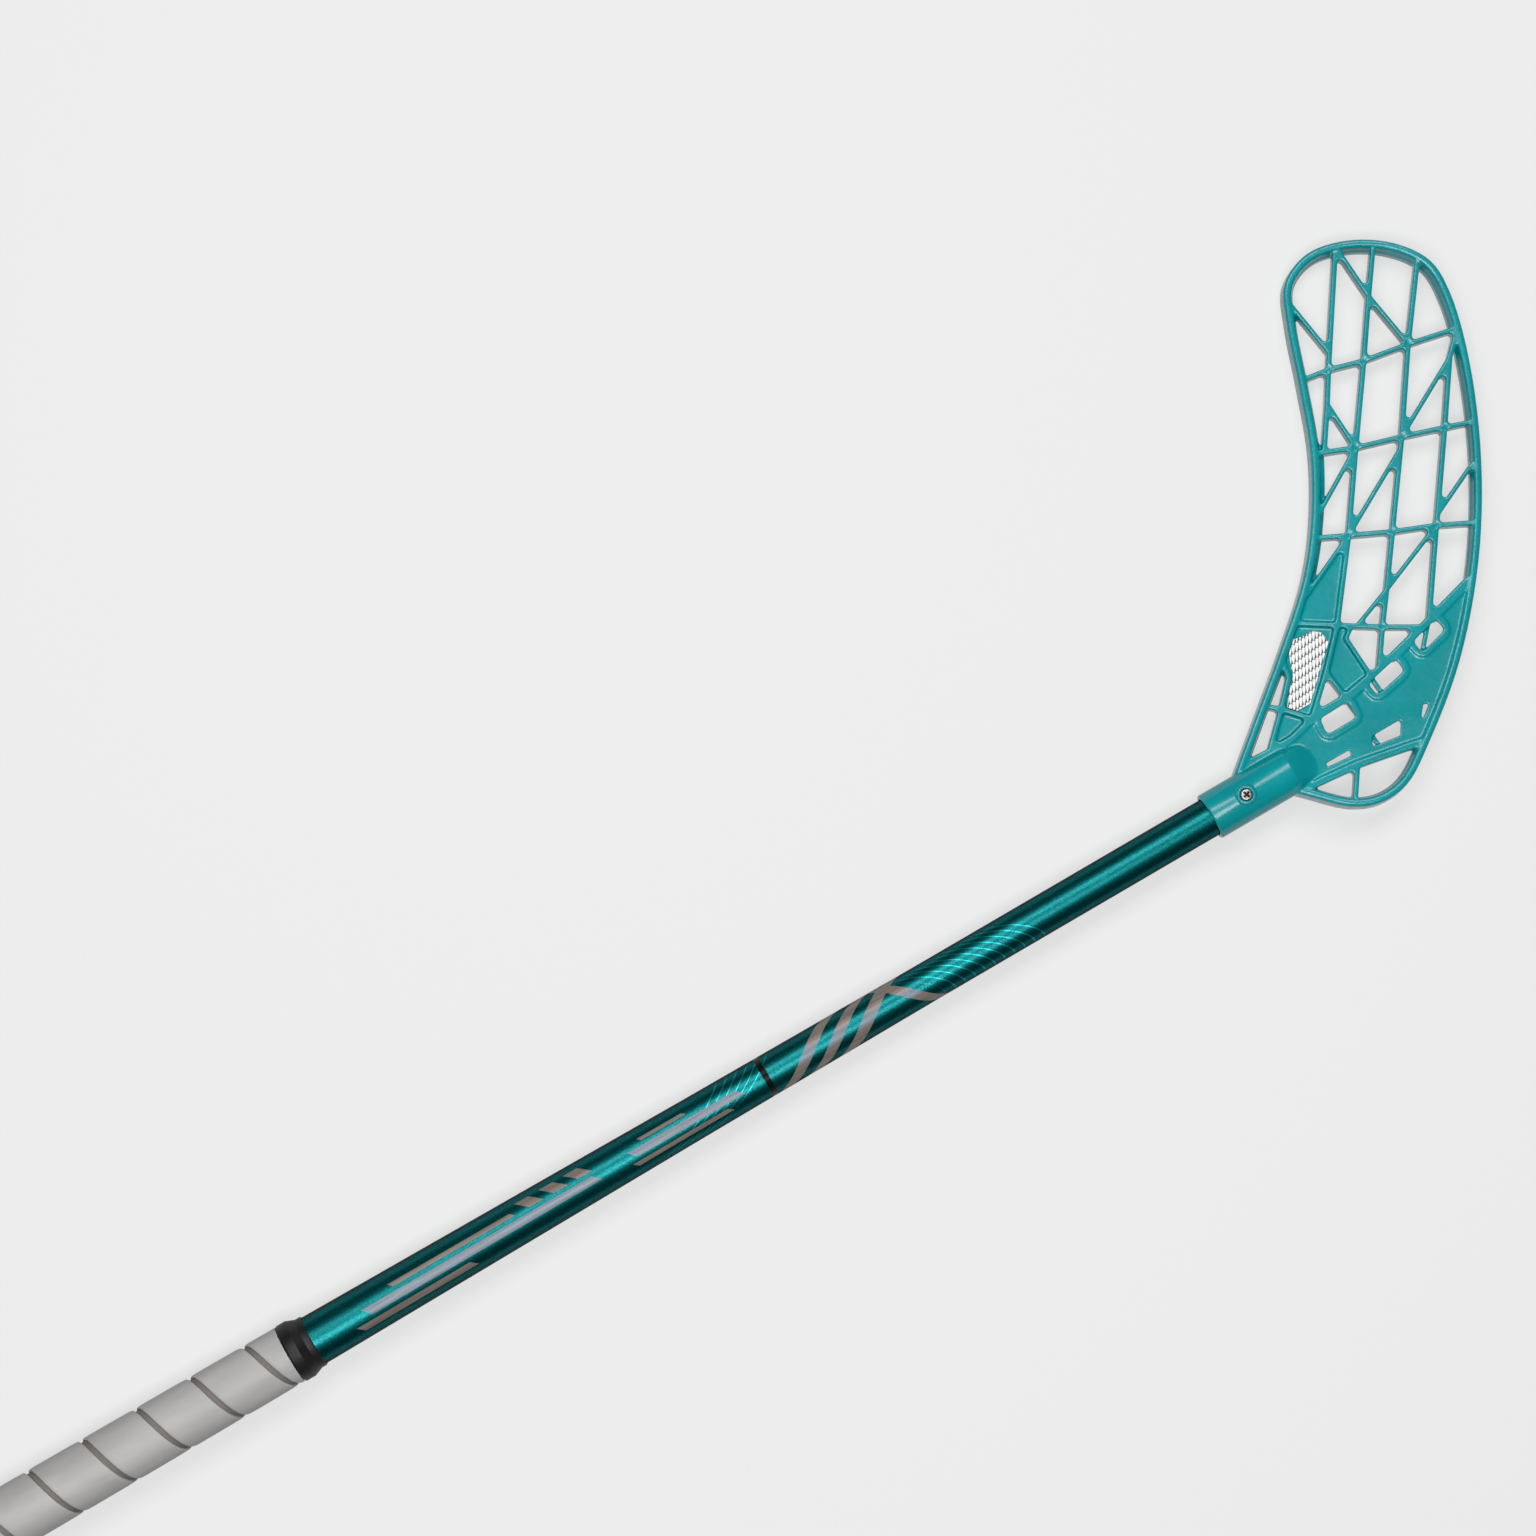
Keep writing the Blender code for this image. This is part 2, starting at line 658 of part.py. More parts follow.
class Moulding:
    """A plate with openings and recesses, built as one closed skin from loops at given heights."""

    def __init__(self):
        self.points = []
        self.faces = []

    def loop(self, flat, height):
        start = len(self.points)
        self.points += [placed(p[0], p[1], height) for p in flat]
        return list(range(start, start + len(flat)))

    def wall(self, first, second):
        for k in range(len(first)):
            j = (k + 1) % len(first)
            self.faces.append((first[k], first[j], second[j], second[k]))

    def face(self, rings):
        """A flat face between an outer ring and any rings inside it; each ring is (flat loop, indices)."""
        flats = [[Vector((p[0], p[1], 0.0)) for p in flat] for flat, _ in rings]
        indices = [index for _, ring in rings for index in ring]
        for triangle in tessellate_polygon(flats):
            self.faces.append(tuple(indices[k] for k in triangle))


def cut_heel_web(moulding, front):
    """The walls of the heel web's low openings, and the loops that its front and back faces go round."""
    front_faces, back_faces = [], []
    for corners in LOW_OPENINGS:
        hole = rounded(points_of(corners), LOW_OPENING_CORNER)
        top = moulding.loop(hole, front)
        bottom = moulding.loop(hole, front - WEB_THICKNESS)
        moulding.wall(top, bottom)
        front_faces.append((hole, top))
        back_faces.append((hole, bottom))
    return front_faces, back_faces


def points_of(corners):
    return [np.array(corner, float) for corner in corners]


def make_prism(name, loop, low, high):
    """A solid that stands on the blade's middle plane over a loop, between two heights."""
    rings = [[placed(*point, height) for point in loop] for height in (low, high)]
    return add(name, *swept(rings), "blade_plastic", helper=True)


def add_vents(blade):
    """The heel web's vents: flat raised borders, and the holes through them."""
    front = WEBS["heel"][1]
    holes = [rounded(points_of(corners), VENT_CORNER) for corners in VENTS]
    for number, hole in enumerate(holes, 1):
        border = grown(hole, VENT_BORDER)
        pad = make_prism(f"blade_vent_pad_{number}", border, front - VENT_BORDER_ROOT, front + VENT_BORDER_RISE)
        boolean(blade, pad, "UNION")
    for number, hole in enumerate(holes, 1):
        cutter = make_prism(f"blade_vent_{number}", hole, RIB_BACK - CUT_PAST, RIB_FRONT + CUT_PAST)
        boolean(blade, cutter, "DIFFERENCE")


def make_lattice(line, places, widths):
    """Ribs, webs and slots as one moulding. Its outline runs inside the rim."""
    moulding = Moulding()
    outline = list(line)
    if area(outline) < 0:
        outline.reverse()
    front_rings = [(outline, moulding.loop(outline, RIB_FRONT))]
    back_rings = [(outline, moulding.loop(outline, RIB_BACK))]
    moulding.wall(front_rings[0][1], back_rings[0][1])
    for walk in cells(places, widths):
        opening = inset_loop(walk, places, widths)
        if len(opening) < 3 or area(opening) < SMALLEST_OPENING:
            continue
        base = rounded(opening, CORNER_RADIUS)
        open_front = grown(base, RIB_ROUND)
        front = moulding.loop(open_front, RIB_FRONT)
        edge = moulding.loop(base, RIB_FRONT - RIB_ROUND)
        back = moulding.loop(base, RIB_BACK)
        front_rings.append((open_front, front))
        back_rings.append((base, back))
        moulding.wall(front, edge)
        web = web_in([places[name] for name in walk])
        if not web:
            moulding.wall(edge, back)
            continue
        web_front = WEBS[web][1]
        floor = moulding.loop(base, web_front)
        ceiling = moulding.loop(base, web_front - WEB_THICKNESS)
        moulding.wall(edge, floor)
        moulding.wall(ceiling, back)
        holes = cut_heel_web(moulding, web_front) if web == "heel" else ([], [])
        moulding.face([(base, floor), *holes[0]])
        moulding.face([(base, ceiling), *holes[1]])
    moulding.face(front_rings)
    moulding.face(back_rings)
    return add("blade", moulding.points, moulding.faces, "blade_plastic")


def web_in(cell):
    """The name of the web that closes this cell, or None."""
    for name, (point, _) in WEBS.items():
        if inside(point, cell):
            return name
    return None


def back_reach(point):
    """How far the rim's back stands out past its front: its draft, and a ledge along the inner edge."""
    across, along = point
    ledge = 0.0
    if across < LEDGE_ACROSS and LEDGE_FROM < along < LEDGE_TO:
        ledge = LEDGE_WIDTH * (along - LEDGE_FROM) / (LEDGE_TO - LEDGE_FROM)
    return RIM_DRAFT + ledge


def make_rim(line):
    """The rim's bar: rounded at the front, wider at the back."""
    half_width = RIM_WIDTH / 2
    shoulder = RIM_FRONT - RIM_ROUND
    rim_back = RIM_FRONT - RIM_DEPTH
    foot = rim_back + RIM_BACK_CHAMFER
    outer = half_width + RIM_OUTER_DRAFT
    eased = RIM_ROUND * (1 - math.sqrt(0.5))
    rings = []
    for k, point in enumerate(line):
        tangent = line[min(k + 1, len(line) - 1)] - line[max(k - 1, 0)]
        outward = left_of(tangent / np.linalg.norm(tangent))
        inner = half_width + back_reach(point)
        section = (
            (half_width - RIM_ROUND, RIM_FRONT), (half_width - eased, RIM_FRONT - eased),
            (half_width, shoulder), (outer, foot), (outer - RIM_BACK_CHAMFER, rim_back),
            (RIM_BACK_CHAMFER - inner, rim_back), (-inner, foot), (-inner, LEDGE_HEIGHT),
            (-half_width - RIM_DRAFT / 2, LEDGE_HEIGHT + RIM_DRAFT), (-half_width, shoulder),
            (eased - half_width, RIM_FRONT - eased), (RIM_ROUND - half_width, RIM_FRONT),
        )
        rings.append([placed(*(point + outward * offset), height) for offset, height in section])
    return add("blade_rim", *swept(rings), "blade_plastic", helper=True)


def make_back_rib(number, start, end):
    """A rib on the back of the heel web, its front inside the web."""
    start, end = np.array(start, float), np.array(end, float)
    direction = (end - start) / np.linalg.norm(end - start)
    side = left_of(direction) * DIAGONAL_WIDTH / 2
    front = WEBS["heel"][1] - WEB_THICKNESS + BACK_RIB_OVERLAP
    corners = ((side, front), (-side, front), (-side, BACK_RIB_BACK), (side, BACK_RIB_BACK))
    rings = [[placed(*(point + way), height) for way, height in corners] for point in (start, end)]
    return add(f"blade_back_rib_{number}", *swept(rings), "blade_plastic", helper=True)


def make_hosel():
    """The socket's body: a tube that flattens into the heel web."""
    radius = HOSEL_OD / 2
    mouth = radius - HOSEL_EDGE
    stations = [(0.0, mouth, mouth), (HOSEL_EDGE, radius, radius), (HOSEL_TUBE_LENGTH, radius, radius)]
    for k in range(1, HOSEL_NOSE_STEPS + 1):
        share = k / HOSEL_NOSE_STEPS
        height = radius + (HOSEL_NOSE_HEIGHT / 2 - radius) * share
        width = radius * (1.0 - HOSEL_NOSE_NARROWING * share)
        stations.append((HOSEL_TUBE_LENGTH + HOSEL_NOSE_LENGTH * share, width, height))
    rings = []
    for x, width, height in stations:
        ring = []
        for i in range(HOSEL_SIDES):
            angle = 2 * math.pi * i / HOSEL_SIDES
            ring.append((x, width * math.cos(angle), height * math.sin(angle)))
        rings.append(ring)
    return add("blade_hosel", *swept(rings), "blade_plastic", helper=True)


def make_blade():
    line, places, widths = blade_network()
    blade = make_lattice(line, places, widths)
    radius = HOSEL_OD / 2
    boolean(blade, make_rim(line), "UNION")
    boolean(blade, make_hosel(), "UNION")
    add_vents(blade)
    for number, (start, end) in enumerate(BACK_RIBS, 1):
        boolean(blade, make_back_rib(number, places[start], end), "UNION")
    top = radius + BOSS_RISE
    root = radius - BOSS_ROOT
    centre = (SCREW_X, 0.0, 0.0)
    for side, face in SCREW_FACES:
        boss = ((side * root, 0.0), (side * root, BOSS_OD / 2), (side * (top - BOSS_EDGE), BOSS_OD / 2),
                (side * top, BOSS_OD / 2 - BOSS_EDGE), (side * top, 0.0))
        boss = add(f"blade_boss_{face}", *turned(boss, BOSS_SIDES, "Z", centre), None, helper=True)
        boolean(blade, boss, "UNION")
    bore_radius = LOWER_OD / 2 + PLAY
    bore_end = SOCKET_DEPTH + PLAY
    bore = ((-CUT_PAST, 0.0), (-CUT_PAST, bore_radius), (bore_end, bore_radius), (bore_end, 0.0))
    boolean(blade, add("blade_bore", *turned(bore, SHAFT_SIDES), None, helper=True), "DIFFERENCE")
    seat = top - BOSS_SEAT_DEPTH
    head = SCREW_HEAD_OD / 2 + PLAY
    shank = SCREW_SHANK_OD / 2 + PLAY
    inner = bore_radius - CUT_PAST
    outer = top + CUT_PAST
    for side, face in SCREW_FACES:
        hole = ((side * inner, 0.0), (side * inner, shank), (side * seat, shank), (side * seat, head),
                (side * outer, head), (side * outer, 0.0))
        seat_solid = turned(hole, BOSS_SIDES, "Z", centre, phase=0.5)
        cutter = add(f"blade_seat_{face}", *seat_solid, None, helper=True)
        boolean(blade, cutter, "DIFFERENCE")
    return blade


def make_screw_holes():
    """Cutters for the shaft's two holes, one for each blade screw."""
    holes = []
    radius = SCREW_SHANK_OD / 2 + PLAY
    inner = LOWER_OD / 2 - SHAFT_WALL - CUT_PAST
    outer = LOWER_OD / 2 + CUT_PAST
    for side, face in SCREW_FACES:
        profile = ((side * inner, 0.0), (side * inner, radius), (side * outer, radius), (side * outer, 0.0))
        hole = turned(profile, SCREW_SIDES, "Z", (SCREW_X, 0.0, 0.0))
        holes.append(add(f"shaft_hole_{face}", *hole, None, helper=True))
    return holes


def make_screw(side, face):
    """A pan-head screw with a cross recess, its head in the hosel's boss and its shank through both walls."""
    under = HOSEL_OD / 2 + BOSS_RISE - BOSS_SEAT_DEPTH + PLAY
    top = under + SCREW_HEAD_HEIGHT
    head, shank = SCREW_HEAD_OD / 2, SCREW_SHANK_OD / 2
    tip = under - SCREW_SHANK_LENGTH
    profile = [(tip, 0.0), (tip, SCREW_TIP_RADIUS), (tip + SCREW_POINT_LENGTH, shank), (under, shank)]
    profile.append((under, head))
    for share in SCREW_DOME_SHARES:
        profile.append((top - (SCREW_HEAD_HEIGHT - SCREW_HEAD_EDGE) * share * share, share * head))
    profile = [(side * along, radius) for along, radius in profile]
    centre = (SCREW_X, 0.0, 0.0)
    screw = add(f"blade_screw_{face}", *turned(profile, SCREW_SIDES, "Z", centre), "screw_steel", centre)
    arm, width = CROSS_LENGTH / 2, CROSS_WIDTH / 2
    plus = (
        (arm, -width), (arm, width), (width, width), (width, arm), (-width, arm), (-width, width),
        (-arm, width), (-arm, -width), (-width, -width), (-width, -arm), (width, -arm), (width, -width),
    )
    depths = (top - CROSS_DEPTH, top + CUT_PAST)
    rings = [[(SCREW_X + x, y, side * depth) for x, y in plus] for depth in depths]
    cutter = add(f"cross_recess_{face}", *swept(rings), None, helper=True)
    boolean(screw, cutter, "DIFFERENCE")
    return screw


def kept_inside(point, walk, places, widths):
    """The point, moved in where it lies closer than the inlay's margin to a rib beside its cell."""
    for first, second in zip(walk, walk[1:] + walk[:1]):
        run = places[second] - places[first]
        direction = run / np.linalg.norm(run)
        along = np.dot(point - places[first], direction)
        least = widths[first, second] + INLAY_MARGIN
        gap = np.dot(point - places[first], left_of(direction))
        if 0.0 <= along <= np.linalg.norm(run) and abs(gap) < least:
            point = point + left_of(direction) * (least - gap)
    return point


def make_inlay():
    """The plate on its web. It stays clear of the ribs around it, whatever their width."""
    _, places, widths = blade_network()
    point, web_front = WEBS["inlay"]
    walk = next(walk for walk in cells(places, widths) if inside(point, [places[name] for name in walk]))
    outline = [kept_inside(np.array(p, float), walk, places, widths) for p in INLAY]
    loop = rounded(outline, INLAY_CORNER)
    moulding = Moulding()
    low = moulding.loop(loop, web_front + PLAY)
    high = moulding.loop(loop, web_front + PLAY + INLAY_THICKNESS)
    moulding.wall(high, low)
    moulding.face([(loop, low)])
    moulding.face([(loop, high)])
    return add("textured_inlay", moulding.points, moulding.faces, "inlay_silver")


def corners_in_world(objects):
    """All points of these objects, as the viewport shows them."""
    bpy.context.view_layer.update()
    graph = bpy.context.evaluated_depsgraph_get()
    points = []
    for obj in objects:
        evaluated = obj.evaluated_get(graph)
        mesh = evaluated.to_mesh()
        points += [tuple(evaluated.matrix_world @ vertex.co) for vertex in mesh.vertices]
        evaluated.to_mesh_clear()
    return np.array(points)


def lying_turn(points):
    """The turn about the shaft that brings the blade's lowest point level with the end cap's."""
    low, high = 0.0, STEEPEST_TURN
    for _ in range(HALVINGS):
        turn = (low + high) / 2
        lowest = (points[:, 2] * math.cos(turn) - points[:, 1] * math.sin(turn)).min()
        if lowest < -CAP_OD / 2 * MM:
            high = turn
        else:
            low = turn
    return (low + high) / 2


def main():
    clear_scene()
    holes = make_screw_holes()
    pieces = [make_blade(), make_inlay(), make_shaft(holes)]
    pieces += [make_grip(), make_holding_tape(), make_ring(), make_cap()]
    pieces += [make_screw(side, face) for side, face in SCREW_FACES]
    turn = lying_turn(corners_in_world(pieces[:1]))
    lying = bpy.data.objects.new("lying", None)
    bpy.context.scene.collection.objects.link(lying)
    for obj in list(bpy.data.objects):
        if obj is not lying:
            obj.parent = lying
    lying.rotation_euler = (-turn, 0.0, 0.0)
    box = corners_in_world(pieces)
    low, high = box.min(axis=0), box.max(axis=0)
    lying.location = (-(low[0] + high[0]) / 2, -(low[1] + high[1]) / 2, -low[2])
    print(f"turned {math.degrees(turn):.2f} degrees about the shaft")


main()
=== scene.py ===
"""Looks of a floorball stick that lies face up on a pale floor.

Lengths are in millimetres in the stick's own frame, as far as a name doesn't say otherwise: +X along the
shaft from the butt to the blade with x = 0 at the mouth of the hosel, +Y towards the toe, +Z out of the
blade's hollow face. STICK takes that frame to the floor's, in metres. On the blade a place is
(across, along), with along running from the hosel's mouth to the toe.
"""
import json
import math

import bmesh
import bpy
import numpy as np
from mathutils import Matrix, Vector


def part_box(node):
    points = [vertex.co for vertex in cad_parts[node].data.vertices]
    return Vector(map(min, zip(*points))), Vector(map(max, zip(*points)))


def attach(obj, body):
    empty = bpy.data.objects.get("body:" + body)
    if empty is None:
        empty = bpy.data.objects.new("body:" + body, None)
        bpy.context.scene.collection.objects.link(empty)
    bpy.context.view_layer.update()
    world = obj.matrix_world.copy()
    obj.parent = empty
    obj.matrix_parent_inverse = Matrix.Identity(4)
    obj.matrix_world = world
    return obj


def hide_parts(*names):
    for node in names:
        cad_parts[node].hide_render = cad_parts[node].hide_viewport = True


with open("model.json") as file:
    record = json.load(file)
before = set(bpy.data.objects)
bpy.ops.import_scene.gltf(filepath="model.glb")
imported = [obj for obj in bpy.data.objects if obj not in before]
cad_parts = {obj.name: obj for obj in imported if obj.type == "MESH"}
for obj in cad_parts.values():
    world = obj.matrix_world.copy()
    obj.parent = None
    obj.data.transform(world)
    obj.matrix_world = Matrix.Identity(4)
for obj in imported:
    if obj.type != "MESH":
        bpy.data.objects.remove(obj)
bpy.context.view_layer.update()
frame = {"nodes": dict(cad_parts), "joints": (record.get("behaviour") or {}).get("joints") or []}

MM = 0.001
# Points nearer than this are merged: in the CAD's metres, and in the stick's millimetres
CAD_MERGE = 2e-6
MERGE = 1e-5

# Where the frame puts the stick: its turn about the shaft, and the middle of the hosel's mouth
SCREW_AXIS = Vector(frame["joints"][0]["axis"])
TURN = math.atan2(SCREW_AXIS.y, SCREW_AXIS.z)
SHAFT_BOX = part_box("shaft")
MOUTH = Vector((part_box("blade")[0].x, *((SHAFT_BOX[0] + SHAFT_BOX[1]) / 2).yz))
STICK = Matrix.Translation(MOUTH) @ Matrix.Rotation(-TURN, 4, "X") @ Matrix.Scale(MM, 4)

# Shaft
BUTT = (SHAFT_BOX[0].x - MOUTH.x) / MM
SOCKET_DEPTH = (SHAFT_BOX[1].x - MOUTH.x) / MM
SHAFT_WALL = 1.4
BUTT_OD = 28.2
PALM_OD = 27.7
PALM_BACK = 155.0
NECK_OD = 26.0
WAIST_OD = 21.8
WAIST_RUN = 300.0
LOWER_OD = 20.2
LOWER_RUN = 165.0
SHAFT_SIDES = 128
SHAFT_STEP = 8.0
HOLE_SIDES = 32
PLAY = 0.3

# Rubber ring over the band's end
RING_BACK = (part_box("grip_ring")[0].x - MOUTH.x) / MM
RING_FRONT = (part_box("grip_ring")[1].x - MOUTH.x) / MM
NECK = RING_FRONT
RING_OD = 31.3
RING_LIP_OD = 27.5
RING_LIP_LENGTH = 4.2
RING_SLOPE_LENGTH = 3.0
RING_ROUND = 0.9
RING_BED = 1.2
RING_SIDES = 112

# Grip band, one helix of tape: a thick padded part and a thin edge that the next turn covers
BAND_PITCH = 30.8
BAND_GROOVE = 3.0
BAND_BLUNT_START = 2.2
BAND_THICKNESS = 1.95
BAND_ROUNDNESS = 7.0
BAND_PHASE = 0.276
BAND_SIDES = 36
BAND_TURN_STEPS = 56
EDGE_THICKNESS = 0.5
EDGE_ROUNDNESS = 4.0
EDGE_TUCK = 1.2

# End cap
CAP_BACK = (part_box("end_cap")[0].x - MOUTH.x) / MM
CAP_OD = 33.8
CAP_ROUND = 1.5
CAP_EDGE_ROUND = 0.5
CAP_PLUG_LENGTH = 22.0
CAP_PLUG_WALL = 2.2
CAP_PLUG_CHAMFER = 0.8
CAP_DISH = 0.5
# The dish in the cap's face, from its middle outwards, as shares of its depth and of the cap's radius
CAP_DISH_PROFILE = ((1.0, 0.0), (1.0, 0.42), (0.5, 0.46), (0.0, 0.5))
CAP_SIDES = 96

# Blade
LIE_ANGLE = math.radians(60.0)
HOOK_START = 20.0
HOOK_RISE = 20.0
BLADE_LENGTH = 292.0
FINE_VOXEL = 0.4
BLADE_VOXEL = FINE_VOXEL
BLADE_TRIANGLES = 198000
# Passes that round and fill the remeshed edges, counted for the fine voxel
ROUNDING_PASSES = 3
FILLET_PASSES = 5
LEAST_PASSES = 2
NORMALS_EVERY = 4
# How far a pass takes a point towards its neighbours' mean, and how deep a crease has to be to be filled
PASS_SHARE = 0.6
CREASE_DEPTH = 0.002
HOSEL_OD = 24.7
HOSEL_TUBE_LENGTH = 47.0
# The hosel's tube: points this far from its ends, this near its radius and facing outwards this much
TUBE_MARGIN = 1.0
TUBE_NEARNESS = 0.12
TUBE_FACING = 0.97
LEAST_DISTANCE = 1e-6
# Round marks on the front faces of the ribs, by their places on the blade
RIB_FRONT = 4.6
RIB_FRONT_SPREAD = 0.4
RIB_FRONT_FACING = 0.7
EJECTOR_RADIUS = 2.0
EJECTOR_DEPTH = 0.16
EJECTOR_EDGE = 0.35
EJECTOR_MARKS = (
    (80.6, 231.5), (103.2, 239.8), (76.3, 187.5), (99.7, 193.0), (72.3, 143.0), (94.6, 144.8),
    (117.0, 148.0), (121.6, 197.6), (88.9, 96.3), (62.6, 227.0),
)

# Screws
SCREW_X = 20.3
SCREW_HEAD_OD = 6.0
SCREW_HEAD_HEIGHT = 1.9
SCREW_UNDER = 11.95
SCREW_SHANK_OD = 3.5
SCREW_LENGTH = 7.0
SCREW_POINT = 1.6
SCREW_POINT_SHARE = 0.2
THREAD_PITCH = 1.1
THREAD_DEPTH = 0.45
THREAD_SIDES = 28
THREAD_STEPS = 70
HEAD_SIDE = 1.25
HEAD_CHAMFER = 0.25
HEAD_STEPS = 10
HEAD_SIDES = 64
HEAD_FLATNESS = 0.3
CROSS_SPAN = 4.2
CROSS_WIDTH = 1.15
CROSS_DEPTH = 1.5
# The cutter of the cross: height over the head's top, and shares of the span and the width
CROSS_LEVELS = ((0.5, 1.08, 1.048), (-CROSS_DEPTH, 0.55, 0.73))
CROSS_TURN = math.radians(20.0)

# Inlay: rows of raised scales on a thin plate
SCALE_STEP_ACROSS = 1.72
SCALE_STEP_RISE = 1.15
SCALE_PITCH = 4.85
SCALE_WIDTH = 1.64
SCALE_TIP_WIDTH = 0.6
SCALE_NECK = 0.2
SCALE_LENGTH = 4.65
SCALE_HEIGHT = 0.36
SCALE_ROOT = 0.25
# A scale's top, as shares of its width and length
SCALE_TOP_WIDTH = 0.8
SCALE_TOP_LENGTH = 0.98
SCALE_ROUND_STEPS = 3
SPARE_ROWS = 3
# Scales with their middle farther than this from the plate are left out
SCALE_REACH = 0.7 * SCALE_LENGTH
# How far the plate's top and bottom are raised to cut the scales at its outline
PRISM_TOP_RISE = 3.0
PRISM_BOTTOM_RISE = 0.2

# Nearly all of a noise texture's values lie between these
NOISE_LOW = 0.3
NOISE_HIGH = 0.7

# Prints on the shaft: bars, stripes wound round it, fields of fine strokes and a black marking band
PRINT_RADIUS = 12.0
MARK_EDGE = 0.12
# Start and end along the shaft, low and high around it, and lean along for each millimetre around
SILVER_BARS = (
    (-505.0, -440.0, -9.5, -6.0, 1.0), (-492.0, -360.0, -3.6, 0.6, 1.0), (-470.0, -400.0, 3.0, 5.2, 1.0),
    (-392.0, -384.0, 3.0, 9.0, 1.0), (-378.0, -370.0, 3.0, 9.0, 1.0), (-364.0, -356.0, 3.0, 9.0, 1.0),
    (-345.0, -290.0, -8.0, -5.4, 1.0), (-338.0, -276.0, -2.8, 1.4, 1.0), (-326.0, -300.0, 4.0, 6.0, 1.0),
)
# Start along the shaft, width and lean
SILVER_WRAPS = ((-239.0, 8.5, -1.1), (-221.5, 8.5, -1.1), (-204.0, 9.5, -1.1), (-181.0, 7.0, 0.9))
# Start and end along the shaft, low and high around it, and lean
STROKE_FIELDS = ((-300.0, -262.0, -14.0, 12.0, -1.5), (-168.0, -108.0, -14.0, 12.0, 1.1))
STROKE_PITCH = 2.9
STROKE_WIDTH = 0.55
STROKE_CORE = 0.22
STROKE_BEND = 0.04
FIELD_END_FADE = 0.5
FIELD_SIDE_FADE = 3.0
MARKING_BAND = NECK + 259.3
MARKING_WIDTH = 3.1

# Stage, in metres and watts
FLOOR_SIZE = 24.0
FLOOR_COLOUR = (0.22, 0.22, 0.22)
FLOOR_GLOW = 0.59
WORLD_COLOUR = (0.06, 0.06, 0.06)
# Soft boxes: place, what they face, width and length, and power
SOFT_BOXES = {
    "key": ((0.65, 1.00, 2.02), (0.65, 0.0, 0.0), 0.75, 2.2, 35.0),
    "butt_side": ((-1.05, 0.15, 2.40), (-0.85, 0.0, 0.0), 1.0, 1.4, 8.0),
    "shaft_strip": ((-0.20, -0.40, 2.30), (-0.20, -0.09, 0.0), 0.8, 1.3, 32.0),
}

# Camera, from the middle of the hosel's mouth, in metres and the floor's axes
CAMERA_PLACE = Vector((-0.3150, 0.2000, 2.2670))
CAMERA_AIM = Vector((-0.18128, 0.13371, 0.0))
CAMERA_ROLL = math.radians(30.0377)
CAMERA_LENS = 105.862
CAMERA_SENSOR = 36.0


# Objects and meshes

def linked(name, data):
    """An object of this data, in the scene."""
    obj = bpy.data.objects.new(name, data)
    bpy.context.scene.collection.objects.link(obj)
    return obj


def piece_from(name, points, faces, finishes=(), smooth=True):
    """An object at the origin, with its place in its mesh's points."""
    mesh = bpy.data.meshes.new(name)
    mesh.from_pydata([tuple(p) for p in points], [], faces)
    for finish in finishes:
        mesh.materials.append(finish)
    if smooth:
        mesh.shade_smooth()
    return linked(name, mesh)


def merged_copy(node, name):
    """A copy of a CAD node in the stick's frame, with its loose triangles merged."""
    bm = bmesh.new()
    bm.from_mesh(frame["nodes"][node].data)
    bmesh.ops.remove_doubles(bm, verts=bm.verts, dist=CAD_MERGE)
    mesh = bpy.data.meshes.new(name)
    bm.to_mesh(mesh)
    bm.free()
    mesh.transform(STICK.inverted())
    return linked(name, mesh)


def tidy_mesh(obj):
    """Merges doubles and points all faces outwards."""
    bm = bmesh.new()
    bm.from_mesh(obj.data)
    bmesh.ops.remove_doubles(bm, verts=bm.verts, dist=MERGE)
    bmesh.ops.recalc_face_normals(bm, faces=bm.faces)
    bm.to_mesh(obj.data)
    bm.free()
    obj.data.update()


def frozen(obj):
    """The object with its modifiers turned into its mesh."""
    graph = bpy.context.evaluated_depsgraph_get()
    mesh = bpy.data.meshes.new_from_object(obj.evaluated_get(graph))
    obj.modifiers.clear()
    old = obj.data
    obj.data = mesh
    bpy.data.meshes.remove(old)
    return obj


def cut(obj, cutter, operation="DIFFERENCE", materials="INDEX"):
    """Cuts the object with the cutter, which is used up."""
    modifier = obj.modifiers.new("cut", "BOOLEAN")
    modifier.operation = operation
    modifier.object = cutter
    modifier.material_mode = materials
    frozen(obj)
    bpy.data.objects.remove(cutter)


def smooth_with_edges(obj, degrees):
    """Smooth shading, but sharp where faces meet at a wider angle."""
    obj.data.shade_smooth()
    obj.data.set_sharp_from_angle(angle=math.radians(degrees))


def give_finish(obj, finish):
    obj.data.materials.clear()
    obj.data.materials.append(finish)


def finish_piece(obj, body, slot, *nodes):
    """Takes the piece to the floor's frame, hangs it from its body's empty, and hides the CAD nodes that
    it stands for.
    """
    obj.data.transform(STICK)
    obj.data.update()
    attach(obj, body)
    if nodes:
        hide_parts(*nodes)


# Forms of the stick, in its own frame

